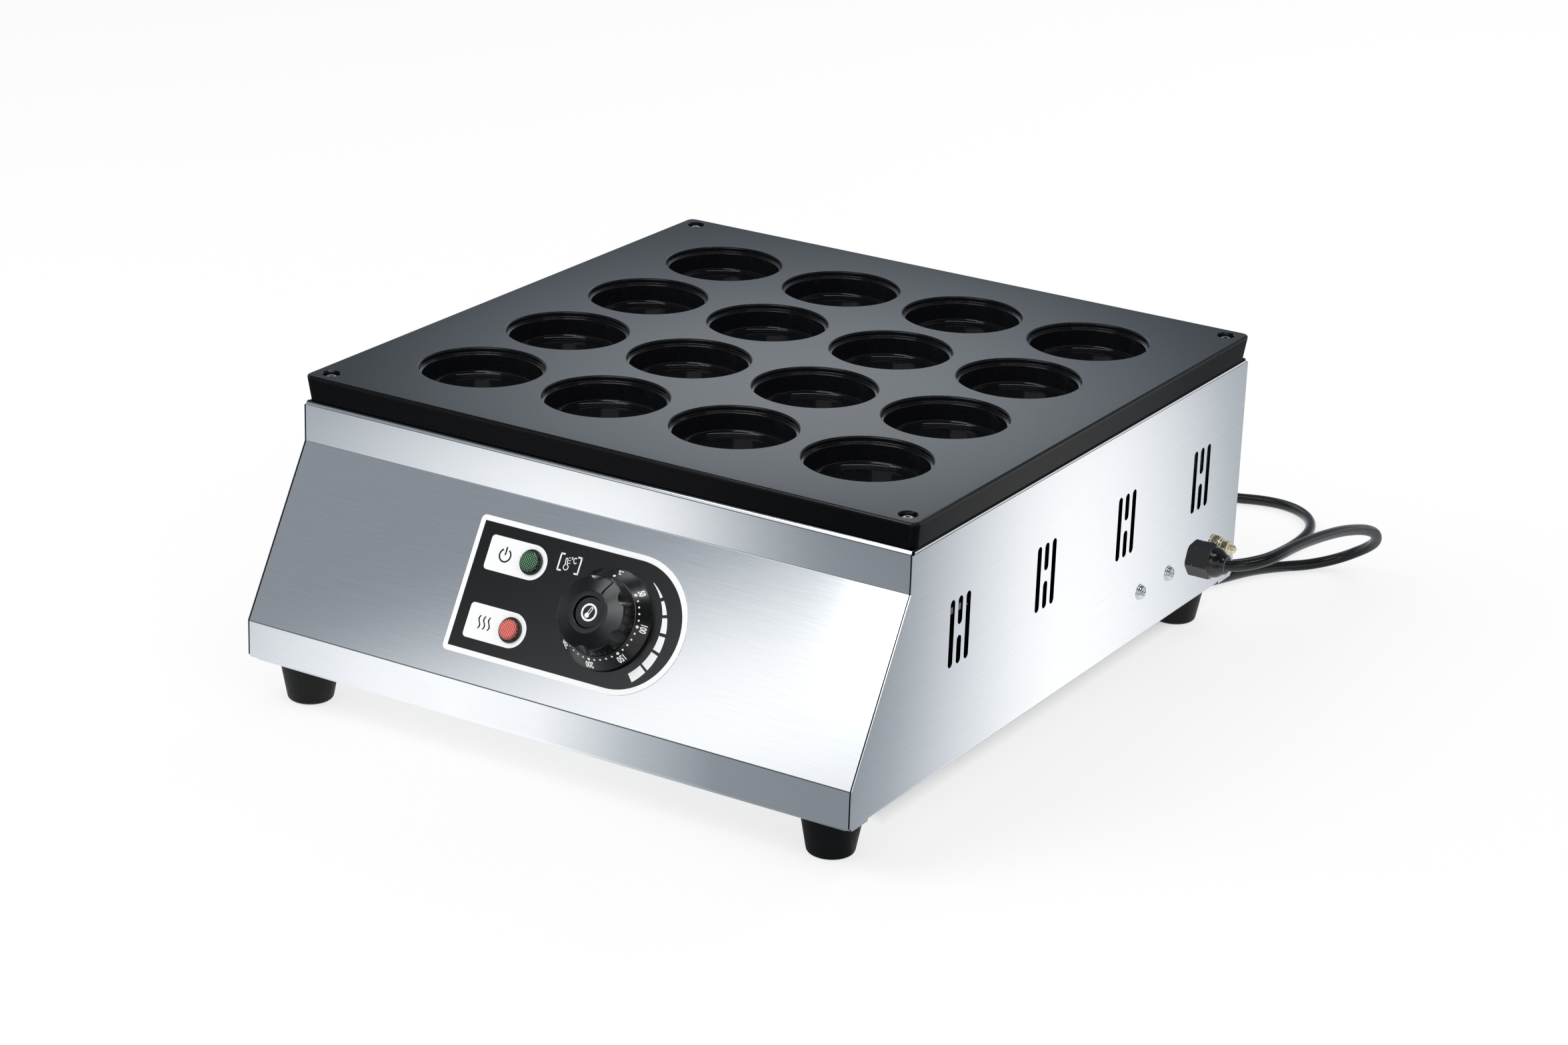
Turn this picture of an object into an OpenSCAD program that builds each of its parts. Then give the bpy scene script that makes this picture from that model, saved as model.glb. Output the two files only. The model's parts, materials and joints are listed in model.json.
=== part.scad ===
// Countertop egg burger maker: a cast mould plate with round pockets on a folded steel
// housing, a thermostat knob and two lamps on the sloping front, rubber feet, an earth
// stud and a mains lead. Millimetres, +Z up, front towards -Y, feet on Z = 0.

/* [Housing] */
// Height of the folded panels
body_h = 139.8; // [125:0.1:170]
// Height of the upright strip under the mould plate
upper_strip_h = 24.1; // [18:0.1:30]
// Height of the upright strip below the slope
lower_strip_h = 22.7; // [16:0.1:30]
// How far the lower strip stands in front of the upper one
slope_run = 53.1; // [45:0.1:60]
// Thickness of the steel sheet
sheet_t = 1.2; // [0.8:0.1:1.6]
// Outside radius of the sheet bends
bend_r = 2.4; // [2:0.1:4]
// Width of the inward flanges
flange_w = 18; // [16:0.5:22]
// Depth of the returns that join front and rear to the sides
return_w = 12; // [8:0.5:14]
// Thickness of the base plate
base_t = 1.2; // [0.8:0.1:2]
// Set-back of the base plate from the outer faces
base_inset = 3; // [2:0.5:5]

/* [Mould plate] */
// Width of the mould plate
plate_w = 400; // [350:0.1:450]
// Depth of the mould plate
plate_d = 400.8; // [350:0.1:450]
// How far the plate stands over the side panels
plate_side_over = 0.8; // [0:0.1:2]
// How far the front strip and rear panel stand out past the plate
plate_end_under = 0.4; // [0:0.1:2]
// Thickness of the mould plate at its edge
plate_t = 15; // [13:0.1:18]
// How far the sides draw in towards the underside
plate_draft = 1.8; // [0:0.1:3]
// Radius of the upright corners
plate_corner_r = 5; // [3:0.5:8]
// Radius of the upper edge
plate_edge_r = 1.5; // [0.5:0.1:2.5]
// Pockets across and deep
pocket_count = 4; // [3:1:4]
// Distance of the outer pocket centres from the plate's sides
pocket_side = 72.05; // [66:0.05:78]
// Distance of the outer pocket centres from the plate's front and rear
pocket_end = 72.45; // [66:0.05:78]
// Width of the land between neighbouring pocket rims
pocket_land = 13.3; // [12:0.1:18]
// Depth of the stepped rim
pocket_rim_h = 3.2; // [2:0.1:5]
// Width of the step inside the rim
pocket_step = 2; // [1:0.1:3]
// Depth of the pocket
pocket_depth = 16; // [14.5:0.1:18]
// How far the pocket wall draws in towards the floor
pocket_draft = 0.6; // [0:0.1:1.5]
// Radius between pocket wall and floor
pocket_fillet = 3.5; // [2:0.1:5]
// Wall and floor thickness of the pocket cups
cup_wall = 4.5; // [3.5:0.1:5]
// Diameter of the corner screw wells
well_d = 10; // [9.8:0.1:12]
// Depth of the corner screw wells
well_depth = 5.7; // [5:0.1:11]
// Distance of the corner screws from the plate sides
well_inset = 11.3; // [10.5:0.1:13]

/* [Controls] */
// Place of the dial centre across the front
dial_x = 28.1; // [15:0.1:35]
// Outside diameter of the dial ring
dial_d = 56.8; // [54:0.1:60]
// Height of the upright edge of the dial ring
dial_edge_h = 2.5; // [1.5:0.1:4]
// Height of the dial ring at its top
dial_h = 8.5; // [7:0.1:10]
// Diameter of the flat top of the dial ring
dial_top_d = 44.6; // [44:0.1:46]
// Diameter of the knob grip at its foot
knob_d = 43; // [40:0.1:43.5]
// Height of the knob
knob_h = 13.2; // [11:0.1:16]
// Taper of the grip, foot to shoulder
knob_taper = 0.7; // [0:0.1:2]
// Drop of the knob's upper face from its ring to its edge
knob_fall = 2.6; // [1:0.1:4]
// Finger scallops round the grip
scallop_count = 6; // [5:1:8]
// Radius of a scallop
scallop_r = 6.5; // [5:0.1:8]
// Depth of a scallop at the shoulder
scallop_depth = 3.1; // [2:0.1:4]
// Turn of the knob from its off mark
knob_turn = 25; // [0:1:225]
// Diameter of the ring round the cap
ring_d = 22.6; // [20:0.1:24]
// Diameter of the cap in the knob
cap_d = 17.2; // [14:0.1:18]
// Diameter of the thermostat spindle
spindle_d = 6; // [5:0.1:7]
// Radial running clearance of the spindle
spindle_clear = 0.05; // [0.02:0.01:0.1]
// Width of the printed overlay
overlay_w = 145.8; // [140:0.1:160]
// Height of the printed overlay
overlay_h = 77.8; // [70:0.1:84]
// Thickness of the printed overlay
overlay_t = 0.5; // [0.3:0.1:1]
// Place of the overlay's left edge
overlay_left = -68.4; // [-80:0.1:-60]
// Place of the lamps across the front
lamp_x = -28.8; // [-40:0.1:-20]
// Distance between the lamps down the slope
lamp_pitch = 38.8; // [30:0.1:44]
// Diameter of the lamp rim
lamp_rim_d = 14.4; // [13:0.1:16]
// Diameter of the lamp lens
lamp_lens_d = 11.8; // [10:0.1:12]

/* [Vents] */
// Vent groups along each side
vent_groups = 4; // [2:1:4]
// Distance of the outer vent groups from the front strip and rear panel
vent_end = 54.85; // [45:0.05:65]
// Height of a vent slot
vent_h = 39; // [30:0.5:44]
// Width of a vent slot
vent_w = 4.9; // [4:0.1:6]
// Distance between the slots of a group
vent_step = 8.6; // [7:0.1:10]
// Bridge in the middle slot
vent_bridge = 6.4; // [4:0.1:10]
// Height of the vents above the panel's lower edge
vent_z = 78.5; // [65:0.5:80]

/* [Feet] */
// Height of a foot
foot_h = 25.3; // [20:0.1:32]
// Diameter of a foot at the base plate
foot_top_d = 36; // [30:0.1:40]
// Diameter of a foot at the floor
foot_bottom_d = 26.8; // [22:0.1:30]
// Distance of the feet from the outer faces at the sides
foot_side = 25.3; // [23:0.1:40]
// Distance of the feet from the outer faces in front and behind
foot_end = 24.4; // [22:0.1:40]

/* [Side fittings] */
// Height of the side fittings above the panel's lower edge
fitting_h = 30; // [26:0.1:38]
// Distance of the first terminal screw from the rear panel
screw_back = 128.8; // [124:0.1:140]
// Distance between the terminal screws
screw_pitch = 37; // [30:0.1:40]
// Distance of the cable gland from the rear panel
gland_back = 58.8; // [56:0.1:62]
// Hexagon of the gland across its flats
gland_af = 19; // [17:0.1:22]
// Thickness of the gland collar
gland_collar_h = 4.6; // [3:0.1:6]
// Length of the gland cap's hexagon
gland_hex_h = 9.8; // [7:0.1:12]
// Length of the gland cap's dome
gland_dome_h = 8.8; // [6:0.1:10]
// Turn of the gland's hexagon
gland_turn = 67; // [0:1:90]
// Distance of the earth stud from the rear panel
stud_back = 32.3; // [26:0.1:34]
// Diameter of the earth stud
stud_d = 5; // [4:0.1:6]
// Free end of the earth stud beyond its nut
stud_free = 4.4; // [3:0.1:8]

/* [Mains lead] */
// Diameter of the mains lead
cord_d = 6.8; // [6:0.1:7]
// Turns in each layer of the coil
coil_turns = 1.75; // [1.25:0.5:2.25]
// Outer radius of the coil at the middle of the lead
coil_r = 43; // [40:0.5:46]
// Gap between neighbouring turns
coil_gap = 0.6; // [0.5:0.1:1]

/* [Hidden] */
$fn = 64;

// Levels and planes of the housing
body_w = plate_w - 2 * plate_side_over;
body_d = plate_d + 2 * plate_end_under;
half_w = body_w / 2;
half_d = body_d / 2;
body_z = foot_h + base_t;
top_z = body_z + body_h;
slope_top_z = top_z - upper_strip_h;
slope_low_z = body_z + lower_strip_h;
slope_rise = slope_top_z - slope_low_z;
slope_len = norm([slope_run, slope_rise]);
slope_lean = atan(slope_run / slope_rise);
front_y = -half_d - slope_run;
plate_top_z = top_z + plate_t;
seam = 0.2;
low_flange_y0 = front_y + flange_w + seam;
low_flange_y1 = half_d - flange_w - seam;

// The origin is under the middle of the object's own box, without its lead
gland_reach = gland_collar_h + gland_hex_h + gland_dome_h;
frame_shift = [
    -(half_w + gland_reach - plate_w / 2) / 2,
    -(front_y + half_d) / 2,
    0
];

// Mould plate
well_x = plate_w / 2 - well_inset;
well_y = plate_d / 2 - well_inset;
pocket_mid = (pocket_count - 1) / 2;
pitch_x = (plate_w / 2 - pocket_side) / pocket_mid;
pitch_y = (plate_d / 2 - pocket_end) / pocket_mid;
pocket_rim_d = min(pitch_x, pitch_y) - pocket_land;
pocket_r = pocket_rim_d / 2 - pocket_step;
pocket_floor_r = pocket_r - pocket_draft;
cup_r = pocket_r + cup_wall;
cup_z = plate_top_z - pocket_depth - cup_wall;
lip_r = 1;
plate_screw_d = 6;
plate_screw_head_d = 9.4;
plate_screw_head_h = 4;
plate_nut_af = 10;
plate_nut_h = 5;

// Corner brackets
bracket_t = 2;
bracket_tab = 24;
bracket_leg = 24;

// Heating elements under two pocket rows each
element_d = 6.5;
element_z = cup_z - element_d / 2;
element_end = 31.2;
element_end_x = half_w - element_end;
element_bend_x = (0.1 - pocket_mid) * pitch_x;
terminal_len = 14;
clamp_t = 3;
clamp_w = 16;
clamp_screw_d = 5;
clamp_z = cup_z - element_d;
clamp_head_h = 3.5;
clamp_grip = 7;
boss_d = 13;
shield_t = 1;
shield_drop = 26;
shield_lip = 11;
shield_z = cup_z - shield_drop;
shield_hole_d = 14;
shield_front_y = -half_d + 50.8;
shield_rear_y = half_d - 20.8;

// Thermostat behind the slope, heights measured outwards from the panel face
dial_s = slope_len / 2;
thermostat_w = 36;
thermostat_deep = 32;
thermostat_screw_x = 14;
thermostat_screw_d = 4;
thermostat_bush_d = 10;
bush_h = 3;
panel_hole_d = 11;
dial_floor_h = 2;
dial_wall = 2;
screw_head_h = 2.4;
knob_foot = overlay_t + dial_h + 0.3;
knob_top = knob_foot + knob_h;
knob_shoulder_r = knob_d / 2 - knob_taper;
knob_wall = 2.4;
hub_d = 12;
spindle_top = knob_top - 5;
spindle_foot = -sheet_t - 14;
flat_cut = 1.5;
cap_seat = 4;
cap_t = 2.4;
pointer_w = 1.7;
pointer_deep = 0.9;
bulb_d = 6;
bulb_len = 70;
capillary_d = 1.8;
capillary_step = 8;

// Lamps
lamp_tube_d = 9.8;
lamp_hole_clear = 0.4;
lamp_rim_h = 1.4;
lamp_lens_h = 3.2;
lamp_deep = 22;
lamp_nut_d = 15;
lamp_nut_h = 3;

// Side fittings
fitting_z = body_z + fitting_h;
screw_y = half_d - screw_back;
gland_y = half_d - gland_back;
stud_y = half_d - stud_back;
screw_d = 4;
screw_head_d = 8.2;
washer_d = 9.6;
washer_t = 0.9;
block_deep = 20;
block_h = 22;
block_margin = 6;
nut_af = 7;
nut_h = 3.2;
gland_thread_d = 15.2;
gland_hole_clear = 0.4;
gland_thread_len = 10;
gland_nut_h = 4.5;
cord_clear = 0.15;
dome_mouth_r = 5.6;
earth_washer_d = 13;
earth_washer_t = 1;
earth_spacer_af = 11;
earth_spacer_h = 4;
spring_washer_d = 9.2;
spring_washer_t = 1.3;
earth_nut_af = 8;
earth_nut_h = 4;
earth_head_h = 3.5;
stud_root_d = 0.82 * stud_d;
stud_reach = 2 * earth_washer_t + earth_spacer_h + spring_washer_t + earth_nut_h + stud_free;

// Feet and base
foot_x = half_w - foot_side;
foot_front_y = front_y + foot_end;
foot_rear_y = half_d - foot_end;
foot_edge_r = 2.6;
foot_well_d = 11;
foot_well_h = 13;
foot_screw_d = 5;
foot_nut_af = 8;
foot_nut_h = 4;
hole_clear = 0.3;
base_screw_d = 4;
base_screw_head_d = 7;
base_screw_len = 7;
base_screw_in = 10;
base_slot_len = 60;
base_slot_w = 5;
base_slot_pitch = 30;

// Lead, plug and coil
cord_r = cord_d / 2;
lie_z = cord_r + 0.2;
coil_pitch = cord_d + coil_gap;
coil_centre = [half_w - 163, half_d + 130];
coil_half = 360 * (coil_turns + 0.25);
coil_rings = 24;
coil_sides = 6;
cord_sides = 10;
tail_len = 24;
plug_relief_len = 24;
plug_len = 40;
plug_w = 38;
pin_len = 17;
pin_w = 6.3;
pin_t = 1.6;
cord_inner_x = half_w - 16;
cord_bend_x = half_w + gland_reach + 2;
cord_bend_r = 22;
cord_bend_c = [cord_bend_x, gland_y + cord_bend_r, fitting_z];
tie_t = 1;
tie_w = 5;
tie_clear = 0.4;
coil_z = lie_z + tie_t + tie_clear;
plug_t = 2 * (coil_z + coil_pitch - 0.2);

// Route of the lead from the gland to the coil
cord_route = [
    [cord_inner_x, gland_y, fitting_z],
    [half_w - 2, gland_y, fitting_z],
    [half_w + gland_reach - 10, gland_y, fitting_z],
    [cord_bend_x, gland_y, fitting_z],
    cord_bend_c + cord_bend_r * [0.5, -0.866, 0.118],
    cord_bend_c + cord_bend_r * [0.866, -0.5, 0.227],
    cord_bend_c + cord_bend_r * [1, 0, 0.264],
    for (p = [
        [47.6, -20, 61.4], [48.2, 0, 59.4], [49, 25, 55.8], [49.8, 50, 51.1], [50.8, 73, 45.2],
        [52, 88, 40], [52.4, 97, 34.8], [49.5, 105, 27.5], [43, 111, 20.5], [34, 114.2, 13.8],
        [24, 113, 8], [15, 107, 4.8], [6.5, 98, lie_z], [-2, 88.5, lie_z], [-9.5, 79.5, lie_z],
        [-16.5, 69, lie_z], [-22, 57, lie_z], [-27, 44, lie_z], [-33.5, 32, lie_z],
        [-44, 23, lie_z], [-58, 18.5, lie_z], [-73, 17.8, lie_z], [-83.3, 20.5, lie_z],
        [-90.8, 28, lie_z], [-93.5, 38.3, lie_z], [-90.8, 48.6, lie_z], [-83.3, 56.1, lie_z],
        [-73, 58.8, lie_z], [-60.5, 57.5, lie_z], [-49, 57.5, lie_z], [-40, 61.3, lie_z],
        [-33, 68, lie_z], [-27, 75.5, lie_z], [-22.5, 83.5, lie_z], [-18.5, 93.5, lie_z],
        [-15.8, 107.5, lie_z], [-14.4, 125, lie_z], [-14.8, 141.5, lie_z], [-17.4, 156.5, lie_z],
        [-22.5, 169, lie_z], [-30.5, 179.5, lie_z], [-41.5, 187, lie_z], [-54, 190, lie_z],
        [-67, 188.5, lie_z], [-81, 183.5, lie_z], [-93, 179.2, lie_z]
    ]) p + [half_w, half_d, 0],
    [coil_centre.x + 8 * cord_d, coil_centre.y + coil_r + cord_r, lie_z],
    [coil_centre.x + 5 * cord_d, coil_centre.y + coil_r, coil_z],
    [coil_centre.x + 3 * cord_d, coil_centre.y + coil_r, coil_z],
    [coil_centre.x + cord_d, coil_centre.y + coil_r, coil_z]
];

// Points on an arc
function arc(c, r, a0, a1, n = 6) =
    [for (i = [0 : n]) let (a = a0 + (a1 - a0) * i / n) c + r * [cos(a), sin(a)]];

function unit(v) = v / norm(v);

function reverse(p) = [for (i = [len(p) - 1 : -1 : 0]) p[i]];

// One point of a smooth curve between b and c
function blend(a, b, c, d, t) =
    0.5 * (2 * b + (c - a) * t + (2 * a - 5 * b + 4 * c - d) * t * t
    + (3 * b - a - 3 * c + d) * t * t * t);

// Smooth curve through a list of points, k steps to a span
function curve(p, k) = concat(
    [for (i = [0 : len(p) - 2], j = [0 : k - 1])
        blend(p[max(i - 1, 0)], p[i], p[i + 1], p[min(i + 2, len(p) - 1)], j / k)],
    [p[len(p) - 1]]
);

function tangents(p) =
    [for (i = [0 : len(p) - 1]) unit(p[min(i + 1, len(p) - 1)] - p[max(i - 1, 0)])];

function square_to(u, t) = unit(u - (u * t) * t);

// Side directions carried along the curve without twist
function sides_along(t, start) = [
    for (i = 0, u = square_to(start, t[0]); i < len(t);
        i = i + 1, u = square_to(u, t[min(i, len(t) - 1)])) u
];

// Least distance between stretches of a tube that are more than skip rings apart
function least_gap(p, skip, d) =
    min([for (i = [0 : len(p) - 1], j = [i + skip : 1 : len(p) - 1]) norm(p[i] - p[j])]) - d;

// Round tube along a list of points
module tube(p, d, sides, start = [0, 0, 1]) {
    t = tangents(p);
    u = sides_along(t, start);
    n = len(p);
    rings = [
        for (i = [0 : n - 1], k = [0 : sides - 1])
            let (a = 360 * k / sides)
            p[i] + d / 2 * (cos(a) * u[i] + sin(a) * cross(t[i], u[i]))
    ];
    walls = [
        for (i = [0 : n - 2], k = [0 : sides - 1])
            let (m = (k + 1) % sides, a = i * sides, b = a + sides)
            each [[a + k, b + k, b + m], [a + k, b + m, a + m]]
    ];
    first = [for (k = [1 : sides - 2]) [0, k, k + 1]];
    last = [for (k = [1 : sides - 2]) let (b = (n - 1) * sides) [b, b + k + 1, b + k]];
    polyhedron(points = rings, faces = concat(walls, first, last), convexity = 10);
}

// Puts a piece in the object's frame
module framed() {
    translate(frame_shift) children();
}

// Extrudes a [Y, Z] outline along X, about the middle plane
module along_x(w) {
    rotate([90, 0, 90]) linear_extrude(height = w, center = true) children();
}

// Extrudes an [X, Z] outline along Y
module along_y(y0, y1) {
    translate([0, y1, 0]) rotate([90, 0, 0]) linear_extrude(height = y1 - y0) children();
}

// Stands a piece on the slope, x across, s down from the upper bend, h outwards
module on_slope(x, s, h = 0) {
    translate([0, -half_d, slope_top_z])
        rotate([90 - slope_lean, 0, 0])
            translate([x, -s, h])
                children();
}

// Stands a piece on the right-hand panel, axis outwards
module on_right(y, z, h = 0) {
    translate([half_w + h, y, z]) rotate([0, 90, 0]) children();
}

module at_corners(x, y) {
    for (sx = [-1, 1], sy = [-1, 1]) translate([sx * x, sy * y, 0]) children();
}

module rounded_square(w, d, r) {
    square([w - 2 * r, d], center = true);
    square([w, d - 2 * r], center = true);
    at_corners(w / 2 - r, d / 2 - r) circle(r);
}

module slot_shape(w, len) {
    square([w, len - w], center = true);
    for (s = [-1, 1]) translate([0, s * (len - w) / 2]) circle(d = w);
}

module hexagon(af, h) {
    cylinder(d = af / cos(30), h = h, $fn = 6);
}

// Nut with its bore, standing on its lower face
module hex_nut(af, h, d) {
    difference() {
        intersection() {
            hexagon(af, h);
            translate([0, 0, -0.12 * af])
                cylinder(r1 = 0.75 * af, r2 = 0.52 * af, h = h + 0.12 * af + 0.02);
        }
        translate([0, 0, -1]) cylinder(d = d + 0.1, h = h + 2);
    }
}

module washer(od, id, t) {
    difference() {
        cylinder(d = od, h = t);
        translate([0, 0, -1]) cylinder(d = id, h = t + 2);
    }
}

// Low domed head with a cross recess, seated on Z = 0
module pan_head(d, h) {
    slot_w = d / 6;
    difference() {
        rotate_extrude()
            polygon(concat([[0, 0], [d / 2, 0]], arc([d / 2 - 0.6 * h, 0.4 * h], 0.6 * h, 0, 90), [[0, h]]));
        for (a = [0, 90])
            rotate([0, 0, a])
                translate([0, 0, h])
                    cube([d * 0.55, slot_w, h], center = true);
    }
}

// Mould plate

// Upright section of the plate, drawn in at the underside and rounded on top
function plate_edge(w) = concat(
    [[w / 2 - plate_draft, 0]],
    arc([w / 2 - plate_edge_r, plate_t - plate_edge_r], plate_edge_r, 0, 90),
    arc([-w / 2 + plate_edge_r, plate_t - plate_edge_r], plate_edge_r, 90, 180),
    [[-w / 2 + plate_draft, 0]]
);

module drafted_block() {
    intersection() {
        along_x(plate_w + 1) polygon(plate_edge(plate_d));
        along_y(-plate_d / 2 - 1, plate_d / 2 + 1) polygon(plate_edge(plate_w));
        linear_extrude(height = plate_t + 1) rounded_square(plate_w, plate_d, plate_corner_r);
    }
}

// Stepped pocket, measured down from the upper face
module pocket_cut() {
    rim_r = pocket_rim_d / 2;
    wall = concat(
        arc([rim_r + lip_r, -lip_r], lip_r, 90, 180, 3),
        [[rim_r, -pocket_rim_h + 0.6]],
        arc([rim_r - 0.6, -pocket_rim_h + 0.6], 0.6, 0, -90, 2),
        arc([pocket_r + lip_r, -pocket_rim_h - lip_r], lip_r, 90, 180, 3),
        arc([pocket_floor_r - pocket_fillet, -pocket_depth + pocket_fillet], pocket_fillet, 0, -90, 5)
    );
    rotate_extrude()
        polygon(concat([[0, 1], [rim_r + lip_r, 1]], wall, [[0, -pocket_depth]]));
}

module at_pockets() {
    for (i = [0 : pocket_count - 1], j = [0 : pocket_count - 1])
        translate([(i - pocket_mid) * pitch_x, (j - pocket_mid) * pitch_y, 0])
            children();
}

module at_clamps() {
    for (sy = [-1, 1], i = [1 : pocket_count - 1])
        translate([(i - pocket_count / 2) * pitch_x, sy * (pocket_mid - 0.5) * pitch_y, 0])
            children();
}

module mould_plate() {
    color([0.16, 0.17, 0.18])
        difference() {
            union() {
                translate([0, 0, top_z]) drafted_block();
                at_pockets()
                    translate([0, 0, cup_z])
                        cylinder(r1 = cup_r - 1, r2 = cup_r, h = top_z - cup_z + 1);
                at_clamps() translate([0, 0, clamp_z]) cylinder(d = boss_d, h = top_z - clamp_z + 1);
            }
            translate([0, 0, plate_top_z]) at_pockets() pocket_cut();
            at_corners(well_x, well_y) {
                translate([0, 0, plate_top_z - well_depth]) cylinder(d = well_d, h = well_depth + 1);
                translate([0, 0, top_z - 1]) cylinder(d = plate_screw_d + 2 * hole_clear, h = plate_t);
            }
            at_clamps() translate([0, 0, clamp_z - 1]) cylinder(d = clamp_screw_d, h = 1.4 * clamp_grip);
        }
}

module plate_screws() {
    head_z = plate_top_z - well_depth;
    tip_z = top_z - sheet_t - bracket_t - plate_nut_h - 2;
    color([0.8, 0.8, 0.8])
        at_corners(well_x, well_y) {
            translate([0, 0, tip_z]) cylinder(d = plate_screw_d, h = head_z - tip_z);
            translate([0, 0, head_z])
                difference() {
                    cylinder(d = plate_screw_head_d, h = plate_screw_head_h);
                    translate([0, 0, plate_screw_head_h / 2])
                        hexagon(plate_screw_d * 0.8, plate_screw_head_h);
                }
        }
}

module plate_nuts() {
    color([0.75, 0.75, 0.75])
        at_corners(well_x, well_y)
            translate([0, 0, top_z - sheet_t - bracket_t - plate_nut_h])
                hex_nut(plate_nut_af, plate_nut_h, plate_screw_d);
}

// Housing panels

// Line of the front, k inside its outer face, without its flanges
function front_line(k) = let (
    m = tan(slope_lean / 2),
    inner_r = bend_r - sheet_t,
    upper_c = [-half_d - inner_r, slope_top_z + inner_r * m],
    lower_c = [front_y + bend_r, slope_low_z - bend_r * m]
) k > sheet_t
    ? [[-half_d + k, slope_top_z - k * m], [front_y + k, slope_low_z - k * m]]
    : concat(
        arc(upper_c, inner_r + k, 0, -slope_lean, 3),
        arc(lower_c, bend_r - k, 180 - slope_lean, 180, 3)
    );

// Section of the front panel as [Y, Z]
module front_section() {
    inner_r = bend_r - sheet_t;
    polygon(concat(
        [[-half_d + flange_w, top_z]],
        arc([-half_d + bend_r, top_z - bend_r], bend_r, 90, 180),
        front_line(0),
        arc([front_y + bend_r, body_z + bend_r], bend_r, 180, 270),
        [[front_y + flange_w, body_z], [front_y + flange_w, body_z + sheet_t]],
        arc([front_y + bend_r, body_z + bend_r], inner_r, 270, 180),
        reverse(front_line(sheet_t)),
        arc([-half_d + bend_r, top_z - bend_r], inner_r, 180, 90),
        [[-half_d + flange_w, top_z - sheet_t]]
    ));
}

// Side return of the front panel as [Y, Z]
module front_return() {
    low = body_z + bend_r;
    high = top_z - bend_r;
    polygon(concat(
        [[-half_d + sheet_t / 2, high]],
        front_line(sheet_t / 2),
        [[front_y + sheet_t / 2, low], [front_y + return_w, low]],
        reverse(front_line(return_w)),
        [[-half_d + return_w, high]]
    ));
}

// Trims the upper flange of a panel to clear the side flanges
module flange_trim(y) {
    for (s = [-1, 1])
        translate([s * half_w, y, top_z])
            cube([2 * (flange_w + seam), 2 * flange_w + 2, 2 * bend_r], center = true);
}

module front_panel() {
    inside_w = body_w - 2 * sheet_t;
    color([0.78, 0.79, 0.8])
        difference() {
            union() {
                difference() {
                    along_x(inside_w) front_section();
                    flange_trim(-half_d + bend_r + flange_w + 1);
                }
                for (s = [-1, 1])
                    translate([s * (inside_w - sheet_t) / 2, 0, 0]) along_x(sheet_t) front_return();
            }
            on_slope(dial_x, dial_s, -sheet_t - 5) cylinder(d = panel_hole_d, h = sheet_t + 10);
            for (s = [-1, 1])
                on_slope(dial_x + s * thermostat_screw_x, dial_s, -sheet_t - 5)
                    cylinder(d = thermostat_screw_d + hole_clear, h = sheet_t + 10);
            for (s = [-1, 1])
                on_slope(lamp_x, dial_s + s * lamp_pitch / 2, -sheet_t - 5)
                    cylinder(d = lamp_tube_d + lamp_hole_clear, h = sheet_t + 10);
            base_screw_holes(base_screw_d + 0.1);
        }
}

// Outline of a side panel's web as [Y, Z], notched where the lower flange bends in
module side_outline() {
    r = bend_r;
    polygon(concat(
        [[-half_d, top_z - r]],
        front_line(0),
        [[front_y, body_z + r], [front_y + r, body_z], [low_flange_y0, body_z]],
        [[low_flange_y0, body_z + r], [low_flange_y1, body_z + r], [low_flange_y1, body_z]],
        [[half_d - r, body_z], [half_d, body_z + r], [half_d, top_z - r]]
    ));
}

// Bent flange of a side panel as an [X, Z] section, its outer face on Z = 0
module flange_section() {
    inner_r = bend_r - sheet_t;
    bend_c = [half_w - bend_r, -bend_r];
    polygon(concat(
        [[half_w - flange_w, 0]],
        arc(bend_c, bend_r, 90, 0),
        [[half_w, -2 * bend_r], [half_w - sheet_t, -2 * bend_r]],
        arc(bend_c, inner_r, 0, 90),
        [[half_w - flange_w, -sheet_t]]
    ));
}

module vent_group() {
    short = (vent_h - vent_bridge) / 2;
    for (s = [-1, 1]) {
        translate([s * vent_step, 0]) slot_shape(vent_w, vent_h);
        translate([0, s * (vent_bridge + short) / 2]) slot_shape(vent_w, short);
    }
}

module side_panel() {
    end_clear = bend_r + seam;
    difference() {
        union() {
            translate([half_w - sheet_t / 2, 0, 0]) along_x(sheet_t) side_outline();
            translate([0, 0, top_z]) along_y(-half_d + end_clear, half_d - end_clear) flange_section();
            translate([0, 0, body_z])
                mirror([0, 0, 1]) along_y(low_flange_y0, low_flange_y1) flange_section();
        }
        for (i = [0 : vent_groups - 1])
            translate([half_w, (2 * i / (vent_groups - 1) - 1) * (half_d - vent_end), body_z + vent_z])
                along_x(4 * sheet_t) vent_group();
        for (s = [-1, 1])
            translate([well_x, s * well_y, top_z - 5]) cylinder(d = plate_screw_d + 2 * hole_clear, h = 10);
        base_screw_holes(base_screw_d + 0.1);
    }
}

module left_side_panel() {
    color([0.78, 0.79, 0.8]) mirror([1, 0, 0]) side_panel();
}

module right_side_panel() {
    color([0.78, 0.79, 0.8])
        difference() {
            side_panel();
            for (i = [0, 1])
                on_right(screw_y + i * screw_pitch, fitting_z, -5) cylinder(d = screw_d + hole_clear, h = 10);
            on_right(gland_y, fitting_z, -5) cylinder(d = gland_thread_d + gland_hole_clear, h = 10);
            on_right(stud_y, fitting_z, -5) cylinder(d = stud_d + hole_clear, h = 10);
        }
}

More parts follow.
